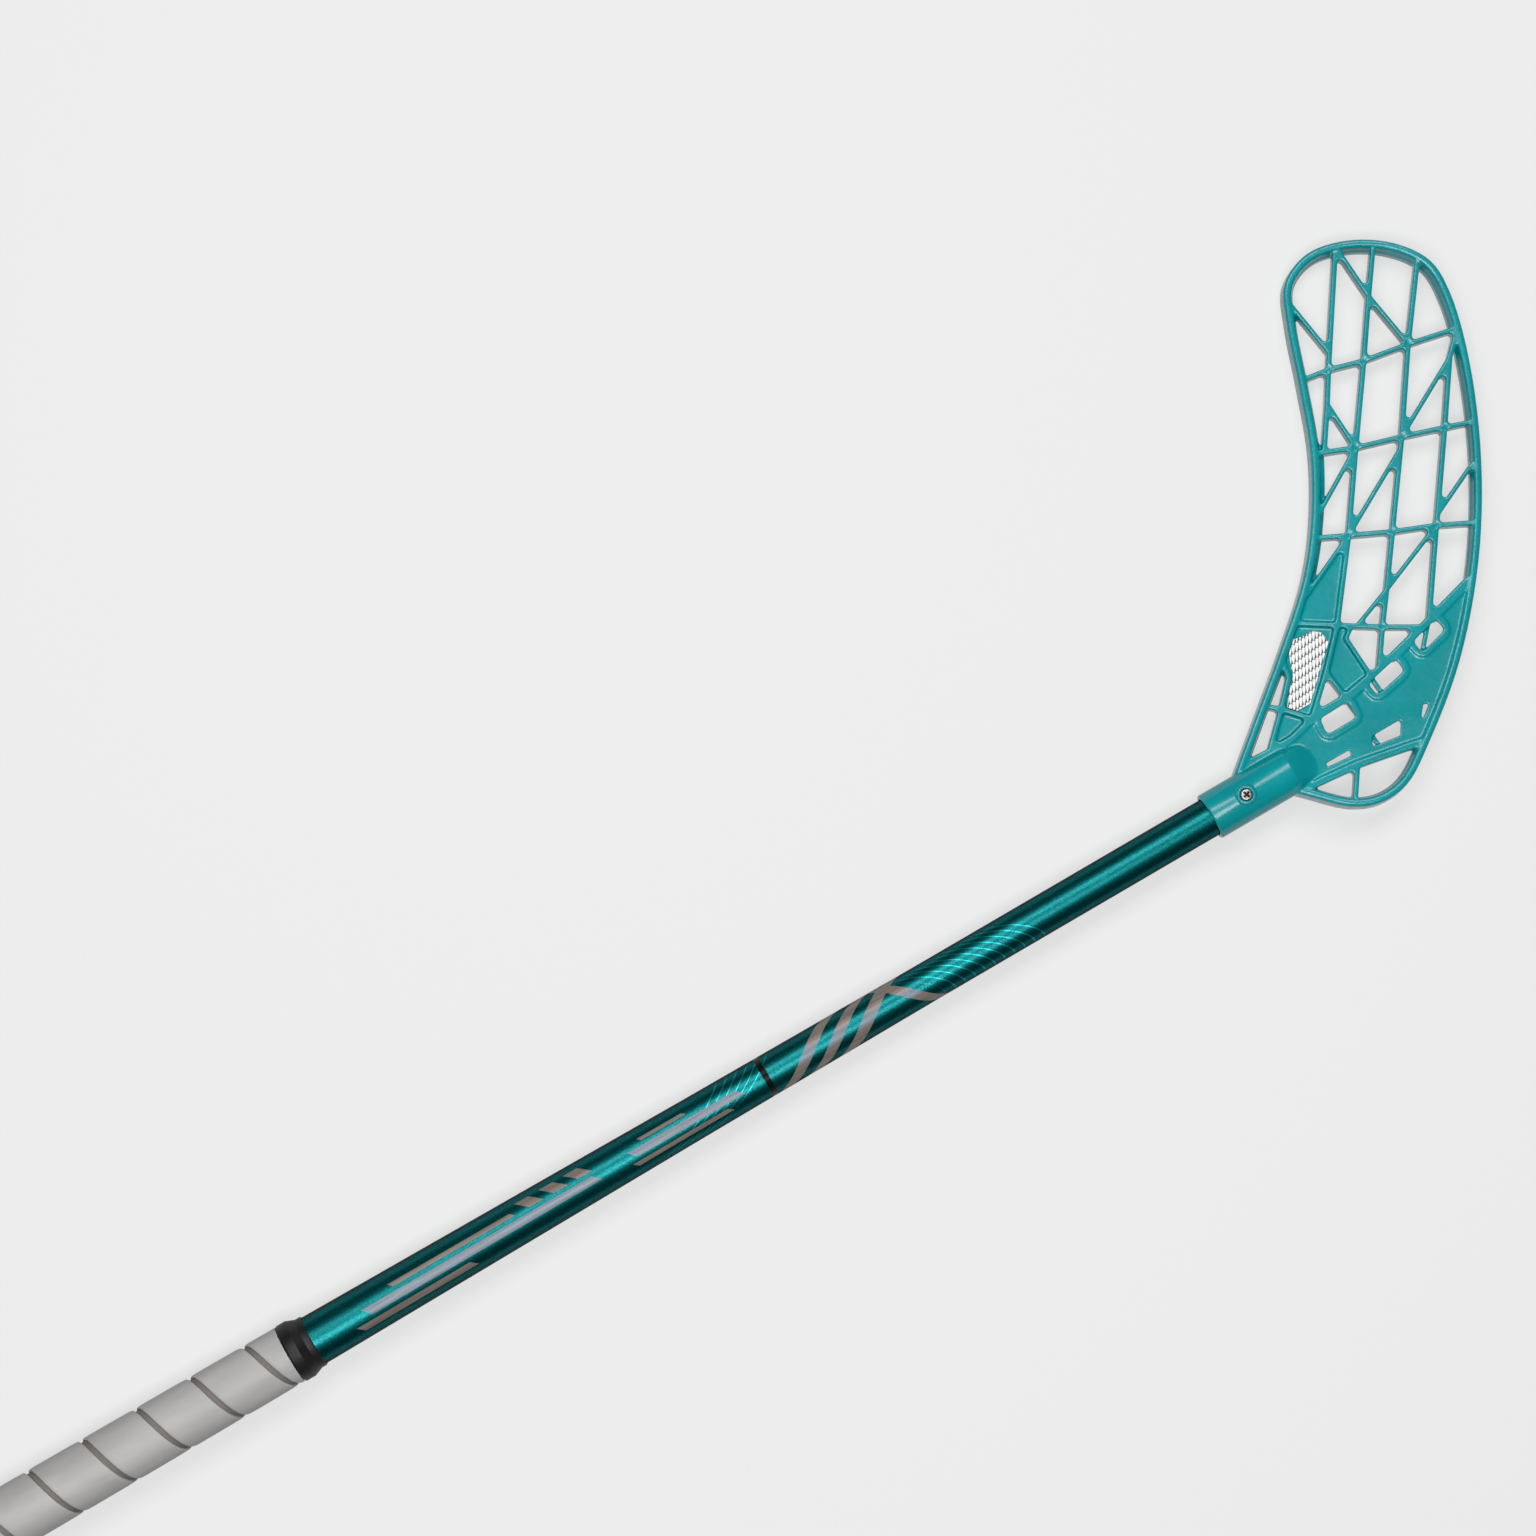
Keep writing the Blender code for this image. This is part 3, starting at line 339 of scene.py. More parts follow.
def lathe(profile, sides, axis="X", centre=(0.0, 0.0, 0.0)):
    """Points and faces of a turned solid, from a profile of (along, radius).

    The profile closes on itself or on the axis.
    """
    centre = np.array(centre, float)
    points, rings = [], []
    for along, radius in profile:
        ring = []
        for i in range(sides if radius > 0 else 1):
            angle = 2 * math.pi * i / sides
            around = (radius * math.cos(angle), radius * math.sin(angle))
            offset = (along, *around) if axis == "X" else (*around, along)
            ring.append(len(points))
            points.append(centre + offset)
        rings.append(ring)
    count = len(rings) - 1 if len(rings[0]) == 1 else len(rings)
    faces = []
    for k in range(count):
        first, second = rings[k], rings[(k + 1) % len(rings)]
        for i in range(sides):
            j = (i + 1) % sides
            corners = (
                first[i % len(first)], first[j % len(first)],
                second[j % len(second)], second[i % len(second)],
            )
            face = tuple(dict.fromkeys(corners))
            if len(face) > 2:
                faces.append(face)
    return points, faces


def arc(centre, radius, start, end, steps):
    """Points of an arc of (along, radius) for a lathe profile, angles in degrees from the along axis."""
    result = []
    for s in range(steps + 1):
        angle = math.radians(start + (end - start) * s / steps)
        result.append((centre[0] + radius * math.cos(angle), centre[1] + radius * math.sin(angle)))
    return result


def shaft_radius(x):
    """The shaft's outer radius at x, from its tapering stations."""
    stations = (
        (BUTT, BUTT_OD), (NECK - PALM_BACK, PALM_OD), (NECK, NECK_OD), (-WAIST_RUN, WAIST_OD),
        (-LOWER_RUN, LOWER_OD), (SOCKET_DEPTH, LOWER_OD),
    )
    return np.interp(x, [s[0] for s in stations], [s[1] / 2 for s in stations])


def hook_height(along):
    """How far the blade's middle plane has risen at this distance along it."""
    share = np.maximum(0.0, (along - HOOK_START) / (BLADE_LENGTH - HOOK_START))
    return HOOK_RISE * share * share


def blade_layout(points):
    """(across, along, height over the blade's middle plane) of points of the stick's frame."""
    along = points[:, 0] * math.cos(LIE_ANGLE) + points[:, 1] * math.sin(LIE_ANGLE)
    across = points[:, 0] * math.sin(LIE_ANGLE) - points[:, 1] * math.cos(LIE_ANGLE)
    return across, along, points[:, 2] - hook_height(along)


def smooth_step(value, start, end):
    """0 up to start, 1 from end on, and a smooth rise between them."""
    share = np.clip((value - start) / (end - start), 0.0, 1.0)
    return share * share * (3.0 - 2.0 * share)


# Node trees and materials

class Nodes:
    """Short calls that build the node tree self.tree."""

    def put(self, socket, value):
        """Links the value, if it is a socket too, or sets it."""
        if isinstance(value, bpy.types.NodeSocket):
            self.tree.links.new(value, socket)
        else:
            socket.default_value = value

    def node(self, kind, inputs=(), **settings):
        made = self.tree.nodes.new(kind)
        for key, value in settings.items():
            setattr(made, key, value)
        for key, value in dict(inputs).items():
            self.put(made.inputs[key], value)
        return made

    def math(self, operation, *values, clamp=False):
        made = self.node("ShaderNodeMath", operation=operation, use_clamp=clamp)
        for socket, value in zip(made.inputs, values):
            self.put(socket, value)
        return made.outputs[0]


class Finish(Nodes):
    """A material, whose extra settings are named as the shader's sockets with _ for each space."""

    # Places of a Mix node's sockets for colours
    MIX_INPUTS = (0, 6, 7)
    MIX_RESULT = 2

    def __init__(self, name, colour, roughness, metallic=0.0, **more):
        self.material = bpy.data.materials.new(name)
        self.material.use_nodes = True
        self.tree = self.material.node_tree
        self.shader = self.tree.nodes["Principled BSDF"]
        self.object_place = self.tree.nodes.new("ShaderNodeTexCoord").outputs["Object"]
        self.colour = colour
        self.set("Base Color", (*colour, 1.0))
        self.set("Roughness", roughness)
        self.set("Metallic", metallic)
        for key, value in more.items():
            self.set(key.replace("_", " "), value)

    def set(self, name, value):
        self.put(self.shader.inputs[name], value)

    def ramp(self, value, start, end, low=0.0, high=1.0):
        """value from start to end, taken smoothly to low to high."""
        inputs = {"Value": value, "From Min": start, "From Max": end, "To Min": low, "To Max": high}
        made = self.node("ShaderNodeMapRange", inputs, interpolation_type="SMOOTHSTEP")
        return made.outputs["Result"]

    def within(self, value, low, high, edge):
        """1 between low and high, with soft edges."""
        rise = self.ramp(value, low - edge, low + edge)
        fall = self.ramp(value, high - edge, high + edge, 1.0, 0.0)
        return self.math("MULTIPLY", rise, fall)

    def highest(self, values):
        result = values[0]
        for value in values[1:]:
            result = self.math("MAXIMUM", result, value)
        return result

    def noise(self, scale, detail=2.0, roughness=0.5, squeeze=None):
        place = self.object_place
        if squeeze:
            place = self.node("ShaderNodeMapping", {"Vector": place, "Scale": squeeze}).outputs[0]
        inputs = {"Vector": place, "Scale": scale, "Detail": detail, "Roughness": roughness}
        return self.node("ShaderNodeTexNoise", inputs).outputs["Fac"]

    def cells(self, scale):
        """A random number for each small cell."""
        made = self.node("ShaderNodeTexVoronoi", {"Vector": self.object_place, "Scale": scale})
        return self.node("ShaderNodeSeparateColor", {"Color": made.outputs["Color"]}).outputs[0]

    def mix(self, share, first, second):
        inputs = zip(self.MIX_INPUTS, (share, first, second))
        return self.node("ShaderNodeMix", inputs, data_type="RGBA").outputs[self.MIX_RESULT]

    def mottled(self, share, dark, light):
        """The colour, from a darker shade of itself where share is 0 to a lighter one where it is 1."""
        shades = [(*[c * factor for c in self.colour], 1.0) for factor in (dark, light)]
        return self.mix(share, *shades)

    def bump(self, height, distance, strength):
        inputs = {"Height": height, "Distance": distance, "Strength": strength}
        self.set("Normal", self.node("ShaderNodeBump", inputs).outputs["Normal"])

    def wear(self, noise, smooth, rough):
        """Roughness from smooth, where the noise is low, to rough."""
        self.set("Roughness", self.ramp(noise, NOISE_LOW, NOISE_HIGH, smooth, rough))

    def stick_place(self):
        """x, y and z of the stick's frame, in millimetres."""
        inputs = {
            "Vector": self.object_place, "Location": MOUTH, "Rotation": (-TURN, 0.0, 0.0),
            "Scale": (MM, MM, MM),
        }
        place = self.node("ShaderNodeMapping", inputs, vector_type="TEXTURE")
        return self.node("ShaderNodeSeparateXYZ", {"Vector": place.outputs[0]}).outputs[0:3]


def blade_plastic():
    finish = Finish("blade_plastic", (0.001, 0.26, 0.285), roughness=0.22, Specular_IOR_Level=0.45)
    cloud = finish.noise(scale=28.0, detail=3.0)
    fine = finish.noise(scale=900.0, detail=2.0, roughness=0.6)
    cloud = finish.ramp(cloud, start=0.35, end=0.7)
    finish.set("Base Color", finish.mottled(cloud, dark=0.92, light=1.06))
    finish.wear(fine, smooth=0.18, rough=0.27)
    finish.bump(fine, distance=0.00004, strength=0.4)
    return finish.material


def silver_mask(finish, x, arc_length):
    """1 on the bars and on the stripes that wind round the shaft."""
    masks = []
    for start, end, low, high, lean in SILVER_BARS:
        leaned = finish.math("MULTIPLY_ADD", arc_length, lean, x)
        along_part = finish.within(leaned, start, end, MARK_EDGE)
        around_part = finish.within(arc_length, low, high, MARK_EDGE)
        masks.append(finish.math("MULTIPLY", along_part, around_part))
    for start, width, lean in SILVER_WRAPS:
        leaned = finish.math("MULTIPLY_ADD", arc_length, lean, x)
        masks.append(finish.within(leaned, start, start + width, MARK_EDGE))
    return finish.highest(masks)


def stroke_mask(finish, x, arc_length):
    """1 on fine curved strokes, side by side in fields that fade out."""
    masks = []
    bend = finish.math("MULTIPLY", finish.math("MULTIPLY", arc_length, arc_length), STROKE_BEND)
    for start, end, low, high, lean in STROKE_FIELDS:
        leaned = finish.math("ADD", finish.math("MULTIPLY_ADD", arc_length, lean, x), bend)
        phase = finish.math("PINGPONG", leaned, STROKE_PITCH)
        line = finish.ramp(phase, STROKE_CORE, STROKE_WIDTH, 1.0, 0.0)
        along_part = finish.within(leaned, start, end, FIELD_END_FADE)
        around_part = finish.within(arc_length, low, high, FIELD_SIDE_FADE)
        masks.append(finish.math("MULTIPLY", line, finish.math("MULTIPLY", along_part, around_part)))
    return finish.highest(masks)


def silver_ink_and_painted_reflection(finish, arc_length):
    """Brushed silver ink in taupe, with a painted reflection: steel blue along the middle of the stick's
    face, the side that faces up.
    """
    taupe = (0.26, 0.215, 0.19, 1.0)
    painted_blue_reflection = (0.16, 0.195, 0.235, 1.0)
    brush_mark = (0.10, 0.09, 0.085, 1.0)
    # Painted reflection: the band of the ink that faces up turns steel blue, and the sides stay taupe.
    middle = finish.within(arc_length, low=-4.5, high=2.0, edge=1.8)
    ink = finish.mix(middle, taupe, painted_blue_reflection)
    brushed = finish.noise(scale=900.0, detail=2.0, roughness=0.6, squeeze=(0.04, 1.0, 1.0))
    return finish.mix(finish.ramp(brushed, start=0.35, end=0.65, high=0.35), ink, brush_mark)


def shaft_paint():
    """Flake paint over near black, with plain bars, stripes and strokes printed on it; the silver print
    carries a painted reflection.
    """
    roughness, print_roughness = 0.38, 0.1
    stroke_cover, silver_cover = 0.7, 0.6
    bright_teal = (0.02, 0.48, 0.50, 1.0)
    black = (0.004, 0.004, 0.004, 1.0)
    finish = Finish(
        "shaft_paint", (0.001, 0.112, 0.118), roughness, metallic=1.0,
        Specular_Tint=(0.0, 0.02, 0.02, 1.0), Coat_Weight=0.12, Coat_Roughness=0.24,
    )
    x, y, z = finish.stick_place()
    arc_length = finish.math("MULTIPLY", finish.math("ARCTAN2", y, z), PRINT_RADIUS)
    flakes = finish.cells(3000.0)
    sparkle = finish.ramp(flakes, start=0.0, end=1.0, low=0.6, high=1.4)
    grain = finish.noise(scale=1500.0, detail=1.0, roughness=0.6)
    grain = finish.ramp(grain, NOISE_LOW, NOISE_HIGH, low=0.8, high=1.2)
    tone = finish.math("MULTIPLY", finish.math("MULTIPLY", sparkle, grain), 0.5, clamp=True)
    paint = finish.mottled(tone, dark=0.1, light=1.9)
    strokes = finish.math("MULTIPLY", stroke_mask(finish, x, arc_length), stroke_cover)
    paint = finish.mix(strokes, paint, bright_teal)
    silver = silver_mask(finish, x, arc_length)
    paint = finish.mix(silver, paint, silver_ink_and_painted_reflection(finish, arc_length))
    band = finish.within(x, MARKING_BAND, MARKING_BAND + MARKING_WIDTH, MARK_EDGE)
    finish.set("Base Color", finish.mix(band, paint, black))
    printed = finish.math("MAXIMUM", finish.math("MULTIPLY", silver, silver_cover), band)
    finish.set("Metallic", finish.math("SUBTRACT", 1.0, printed))
    finish.set("Roughness", finish.math("MULTIPLY_ADD", printed, print_roughness, roughness))
    finish.bump(flakes, distance=0.00001, strength=0.25)
    return finish.material


def grip_tape():
    finish = Finish("grip_tape", (0.405, 0.394, 0.384), roughness=0.5)
    smear = finish.noise(scale=60.0, detail=4.0, roughness=0.6, squeeze=(0.3, 1.0, 1.0))
    grain = finish.noise(scale=1600.0, detail=2.0, roughness=0.6)
    streaks = finish.ramp(smear, start=0.35, end=0.7)
    finish.set("Base Color", finish.mottled(streaks, dark=0.90, light=1.05))
    finish.wear(smear, smooth=0.46, rough=0.58)
    finish.bump(grain, distance=0.00004, strength=0.6)
    return finish.material


def grip_edge():
    finish = Finish("grip_edge", (0.17, 0.15, 0.14), roughness=0.75)
    grain = finish.noise(scale=1200.0, detail=3.0, roughness=0.6)
    finish.set("Base Color", finish.mottled(grain, dark=0.75, light=1.2))
    finish.bump(grain, distance=0.00008, strength=0.8)
    return finish.material


def ring_rubber():
    finish = Finish("ring_rubber", (0.004, 0.004, 0.0042), roughness=0.5, Specular_IOR_Level=0.3)
    grain = finish.noise(scale=1400.0, detail=3.0, roughness=0.6)
    cloud = finish.noise(scale=120.0)
    finish.set("Base Color", finish.mottled(cloud, dark=0.7, light=1.5))
    finish.wear(cloud, smooth=0.42, rough=0.58)
    finish.bump(grain, distance=0.00004, strength=0.7)
    return finish.material


def cap_plastic():
    finish = Finish("cap_plastic", (0.018, 0.018, 0.019), roughness=0.45)
    grain = finish.noise(scale=1800.0, detail=2.0, roughness=0.6)
    finish.set("Base Color", finish.mottled(grain, dark=0.85, light=1.15))
    finish.wear(grain, smooth=0.4, rough=0.5)
    finish.bump(grain, distance=0.00005, strength=0.7)
    return finish.material


def holding_tape():
    finish = Finish("holding_tape", (0.02, 0.02, 0.02), roughness=0.6)
    weave = finish.noise(scale=2500.0)
    finish.set("Base Color", finish.mottled(weave, dark=0.7, light=1.3))
    finish.bump(weave, distance=0.00005, strength=0.8)
    return finish.material


def screw_steel():
    finish = Finish("screw_steel", (0.30, 0.28, 0.27), roughness=0.34, metallic=1.0)
    brush = finish.noise(scale=900.0, detail=4.0, roughness=0.7)
    finish.set("Base Color", finish.mottled(brush, dark=0.75, light=1.15))
    finish.wear(brush, smooth=0.28, rough=0.46)
    finish.bump(brush, distance=0.00002, strength=0.5)
    return finish.material


# Painted shade: near black inside the screws' cross recess, darker than the steel head that it is cut
# in.
def painted_recess_shade():
    finish = Finish("painted_recess_shade", (0.012, 0.011, 0.011), roughness=0.7, Specular_IOR_Level=0.2)
    shade_mottle = finish.noise(scale=1500.0, detail=3.0, roughness=0.6)
    finish.set("Base Color", finish.mottled(shade_mottle, dark=0.6, light=1.6))
    finish.bump(shade_mottle, distance=0.00003, strength=0.6)
    return finish.material


def inlay_white():
    finish = Finish("inlay_white", (0.83, 0.84, 0.84), roughness=0.3)
    cloud = finish.noise(scale=900.0)
    finish.set("Base Color", finish.mottled(cloud, dark=0.96, light=1.02))
    finish.wear(cloud, smooth=0.25, rough=0.4)
    finish.bump(cloud, distance=0.00002, strength=0.4)
    return finish.material


# Painted shade: the plate shows between the scales, and its near-black ground stands for the shade
# there.
def inlay_ground_painted_shade():
    finish = Finish("inlay_ground_painted_shade", (0.05, 0.047, 0.046), roughness=0.5)
    cloud = finish.noise(scale=1200.0)
    finish.set("Base Color", finish.mottled(cloud, dark=0.8, light=1.3))
    finish.bump(cloud, distance=0.00003, strength=0.5)
    return finish.material


# Blade

def mesh_points(mesh):
    points = np.empty(len(mesh.vertices) * 3)
    mesh.vertices.foreach_get("co", points)
    return points.reshape(-1, 3)


def set_points(mesh, points):
    mesh.vertices.foreach_set("co", points.ravel())
    mesh.update()


def mesh_normals(mesh, points):
    """Gives the mesh these points, and reads the normals that it has then."""
    set_points(mesh, points)
    normals = np.empty(len(mesh.vertices) * 3)
    mesh.vertices.foreach_get("normal", normals)
    return normals.reshape(-1, 3)


def neighbour_means(points, edges, counts):
    """The mean of each point's neighbours."""
    total = np.empty_like(points)
    for k in range(3):
        column = points[:, k]
        total[:, k] = np.bincount(edges[:, 0], column[edges[:, 1]], len(points))
        total[:, k] += np.bincount(edges[:, 1], column[edges[:, 0]], len(points))
    return total / counts[:, None]


def passes_here(count):
    """The passes that go as far on these voxels as count passes go on fine ones."""
    return max(LEAST_PASSES, int(count * (FINE_VOXEL / BLADE_VOXEL)))


def fill_creases(mesh, points, edges, counts):
    """Fillets inside corners: points move outwards only, where their neighbours lie outside them."""
    for k in range(passes_here(FILLET_PASSES)):
        if k % NORMALS_EVERY == 0:
            normals = mesh_normals(mesh, points)
        lift = ((neighbour_means(points, edges, counts) - points) * normals).sum(axis=1)
        lift = np.where(lift > CREASE_DEPTH, lift, 0.0) * PASS_SHARE
        points = points + normals * lift[:, None]
    return points


def snap_tube(mesh, points):
    """Takes the facets of the hosel's tube to its true radius."""
    normals = mesh_normals(mesh, points)
    radius = HOSEL_OD / 2
    distance = np.maximum(np.hypot(points[:, 1], points[:, 2]), LEAST_DISTANCE)
    outwards = (normals[:, 1] * points[:, 1] + normals[:, 2] * points[:, 2]) / distance
    on_tube = (points[:, 0] > TUBE_MARGIN) & (points[:, 0] < HOSEL_TUBE_LENGTH - TUBE_MARGIN)
    on_tube &= (outwards > TUBE_FACING) & (np.abs(distance - radius) < TUBE_NEARNESS)
    push = np.where(on_tube, radius / distance, 1.0)
    result = points.copy()
    result[:, 1] *= push
    result[:, 2] *= push
    return result


def add_ejector_marks(mesh, points):
    """Shallow round marks where the mould's pins pushed the ribs out."""
    normals = mesh_normals(mesh, points)
    across, along, height = blade_layout(points)
    front = (height > RIB_FRONT - RIB_FRONT_SPREAD) & (height < RIB_FRONT + RIB_FRONT_SPREAD)
    front &= normals[:, 2] > RIB_FRONT_FACING
    result = points.copy()
    for centre in EJECTOR_MARKS:
        distance = np.hypot(across - centre[0], along - centre[1])
        sink = 1.0 - smooth_step(distance, EJECTOR_RADIUS - EJECTOR_EDGE, EJECTOR_RADIUS)
        result[:, 2] -= np.where(front, EJECTOR_DEPTH * sink, 0.0)
    return result


def make_blade(finish):
    """The blade's solid with moulded edges: rounded outside, filleted inside, with a round hosel."""
    blade = merged_copy("blade", "moulded_blade")
    remesh = blade.modifiers.new("remesh", "REMESH")
    remesh.mode = "VOXEL"
    remesh.voxel_size = BLADE_VOXEL
    frozen(blade)
    mesh = blade.data
    points = mesh_points(mesh)
    edges = np.empty(len(mesh.edges) * 2, int)
    mesh.edges.foreach_get("vertices", edges)
    edges = edges.reshape(-1, 2)
    counts = np.bincount(edges.ravel(), minlength=len(points)).astype(float)
    for _ in range(passes_here(ROUNDING_PASSES)):
        points += (neighbour_means(points, edges, counts) - points) * PASS_SHARE
    points = fill_creases(mesh, points, edges, counts)
    points = snap_tube(mesh, points)
    points = add_ejector_marks(mesh, points)
    set_points(mesh, points)
    reduce = blade.modifiers.new("reduce", "DECIMATE")
    reduce.ratio = min(1.0, BLADE_TRIANGLES / (2 * len(mesh.polygons)))
    frozen(blade)
    give_finish(blade, finish)
    blade.data.shade_smooth()
    finish_piece(blade, "stick", "blade_plastic", "blade")


# Shaft, ring and cap

def make_shaft(finish):
    """The tapering tube, with a hole for the screw in each side of its wall."""
    count = int((SOCKET_DEPTH - BUTT) / SHAFT_STEP)
    stations = [BUTT + (SOCKET_DEPTH - BUTT) * k / count for k in range(count + 1)]
    outer = [(x, shaft_radius(x)) for x in stations]
    bends = (SOCKET_DEPTH, -LOWER_RUN, -WAIST_RUN, NECK, BUTT)
    inner = [(x, shaft_radius(x) - SHAFT_WALL) for x in bends]
    shaft = piece_from("painted_shaft", *lathe(outer + inner, SHAFT_SIDES), [finish])
    tidy_mesh(shaft)
    hole = SCREW_SHANK_OD / 2 + PLAY
    low, high = LOWER_OD / 2 - 2 * SHAFT_WALL, LOWER_OD / 2 + SHAFT_WALL
    for side in (1, -1):
        profile = ((side * low, 0.0), (side * low, hole), (side * high, hole), (side * high, 0.0))
        cutter = piece_from("hole_cutter", *lathe(profile, HOLE_SIDES, "Z", (SCREW_X, 0.0, 0.0)))
        tidy_mesh(cutter)
        cut(shaft, cutter)
    smooth_with_edges(shaft, degrees=35.0)
    finish_piece(shaft, "stick", "shaft_paint", "shaft")


def make_ring(finish):
    """The rubber ring, with a bed for the band's end and a lip that grips the shaft."""
    outer, lip = RING_OD / 2, RING_LIP_OD / 2
    lip_start = RING_FRONT - RING_LIP_LENGTH
    slope_start = lip_start - RING_SLOPE_LENGTH
    bore = float(shaft_radius(RING_BACK)) + PLAY
    bed = bore + RING_BED
    r = RING_ROUND
    profile = arc((RING_BACK + r, outer - r), r, 180, 90, steps=6)
    profile += arc((slope_start - r, outer - r), r, 90, 45, steps=4)
    profile += arc((lip_start + r, lip + r), r, 225, 270, steps=4)
    profile += arc((RING_FRONT - r, lip - r), r, 90, 0, steps=5)
    bed_end = slope_start + PLAY
    profile += [(RING_FRONT, bore), (bed_end, bore), (bed_end, bed), (RING_BACK, bed)]
    ring = piece_from("rubber_ring", *lathe(profile, RING_SIDES), [finish])
    tidy_mesh(ring)
    smooth_with_edges(ring, degrees=50.0)
    finish_piece(ring, "stick", "ring_rubber", "grip_ring")


def make_cap(finish):
    """The butt's rounded disc with a shallow dish in its face, and its hollow plug."""
    outer = CAP_OD / 2
    seat = BUTT - PLAY
    plug = BUTT_OD / 2 - SHAFT_WALL - PLAY
    tip = BUTT + CAP_PLUG_LENGTH
    r, edge, chamfer = CAP_ROUND, CAP_EDGE_ROUND, CAP_PLUG_CHAMFER
    profile = [(CAP_BACK + CAP_DISH * depth, outer * share) for depth, share in CAP_DISH_PROFILE]
    profile += arc((CAP_BACK + r, outer - r), r, 180, 90, steps=7)
    profile += arc((seat - edge, outer - edge), edge, 90, 0, steps=4)
    profile += [(seat, plug), (tip - chamfer, plug), (tip, plug - chamfer), (tip, plug - CAP_PLUG_WALL)]
    profile += [(seat, plug - CAP_PLUG_WALL), (seat, 0.0)]
    cap = piece_from("butt_cap", *lathe(profile, CAP_SIDES), [finish])
    tidy_mesh(cap)
    smooth_with_edges(cap, degrees=40.0)
    finish_piece(cap, "stick", "cap_plastic", "end_cap")


# Geometry Nodes

class Tree(Nodes):
    """A Geometry Nodes tree with named inputs, which are given as {name: value}."""

    KINDS = (
        (float, "NodeSocketFloat"), (int, "NodeSocketInt"),
        (bpy.types.Object, "NodeSocketObject"), (bpy.types.Material, "NodeSocketMaterial"),
    )

    def __init__(self, name, inputs):
        self.tree = bpy.data.node_groups.new(name, "GeometryNodeTree")
        face = self.tree.interface
        face.new_socket("Geometry", in_out="OUTPUT", socket_type="NodeSocketGeometry")
        self.values = {}
        for label, value in inputs.items():
            kind = next(socket for cls, socket in self.KINDS if isinstance(value, cls))
            item = face.new_socket(label, in_out="INPUT", socket_type=kind)
            self.values[item.identifier] = value
        self.start = self.tree.nodes.new("NodeGroupInput").outputs
        self.end = self.tree.nodes.new("NodeGroupOutput").inputs[0]

    def position(self):
        place = self.node("GeometryNodeInputPosition").outputs[0]
        return self.node("ShaderNodeSeparateXYZ", {0: place}).outputs[0:3]

    def combine(self, x, y, z):
        return self.node("ShaderNodeCombineXYZ", {0: x, 1: y, 2: z}).outputs[0]

    def ramp(self, value, start, end, low, high):
        """value from start to end, taken straight to low to high."""
        inputs = {"Value": value, "From Min": start, "From Max": end, "To Min": low, "To Max": high}
        return self.node("ShaderNodeMapRange", inputs).outputs[0]

    def moved(self, geometry, place):
        inputs = {"Geometry": geometry, "Position": place}
        return self.node("GeometryNodeSetPosition", inputs).outputs[0]

    def shape_of(self, label):
        """The mesh of the object that this input holds."""
        return self.node("GeometryNodeObjectInfo", {"Object": self.start[label]}).outputs["Geometry"]

    def coloured(self, geometry, label):
        """The geometry, with the material that this input holds."""
        inputs = {"Geometry": geometry, "Material": self.start[label]}
        return self.node("GeometryNodeSetMaterial", inputs).outputs[0]

    def realised(self, geometry):
        return self.node("GeometryNodeRealizeInstances", {0: geometry}).outputs[0]

    def grow(self, geometry, name):
        """A plain mesh object of this geometry, the tree's result."""
        self.put(self.end, geometry)
        obj = linked(name, bpy.data.meshes.new(name))
        modifier = obj.modifiers.new(name, "NODES")
        modifier.node_group = self.tree
        for identifier, value in self.values.items():
            modifier[identifier] = value
        return frozen(obj)


# Grip

def superellipse(tree, cosine, sine, roundness):
    """A rounded square section: cosine and sine raised to a power, with their signs kept."""
    parts = []
    for value in (cosine, sine):
        size = tree.math("POWER", tree.math("ABSOLUTE", value), 2.0 / roundness)
        parts.append(tree.math("MULTIPLY", size, tree.math("SIGN", value)))
    return parts


def radius_under_tape(tree, along):
    """The shaft's radius between the butt and the neck."""
    palm = NECK - PALM_BACK
    back = tree.ramp(along, BUTT, palm, BUTT_OD / 2, PALM_OD / 2)
    return tree.math("ADD", back, tree.ramp(along, palm, NECK, 0.0, (NECK_OD - PALM_OD) / 2))


def wound_strip(tree, half, low, high, thickness, roundness, lift, lead):
    """A closed strip round the helix, with its section between low and high across the tape.

    half is half the padded tape's width. The strip starts lead turns before the tape does.
    """
    value = tree.start
    turns = tree.math("ADD", value["Turns"], lead)
    inputs = {"Vertices": BAND_SIDES, "Side Segments": value["Steps"], "Radius": 1.0, "Depth": turns}
    cylinder = tree.node("GeometryNodeMeshCylinder", inputs, fill_type="NGON").outputs["Mesh"]
    x, y, z = tree.position()
    side, top = superellipse(tree, x, y, roundness)
    middle = tree.math("DIVIDE", tree.math("ADD", low, high), 2.0)
    reach = tree.math("DIVIDE", tree.math("SUBTRACT", high, low), 2.0)
    offset = tree.math("MULTIPLY_ADD", side, reach, middle)
    height = tree.math("MULTIPLY_ADD", tree.math("MULTIPLY_ADD", top, 0.5, 0.5), thickness, lift)
    turn = tree.math("SUBTRACT", tree.math("ADD", z, tree.math("DIVIDE", turns, 2.0)), lead)
    first = tree.math("ADD", tree.math("SUBTRACT", value["Start"], half), value["Blunt start"])
    along = tree.math("ADD", tree.math("MULTIPLY_ADD", turn, value["Pitch"], first), offset)
    along = tree.math("MINIMUM", tree.math("MAXIMUM", along, value["Start"]), value["End"])
    radius = tree.math("ADD", radius_under_tape(tree, along), height)
    angle = tree.math("MULTIPLY", tree.math("ADD", turn, value["Phase"]), 2 * math.pi)
    place_y = tree.math("MULTIPLY", radius, tree.math("COSINE", angle))
    place_z = tree.math("MULTIPLY", radius, tree.math("SINE", angle))
    return tree.moved(cylinder, tree.combine(along, place_y, place_z))


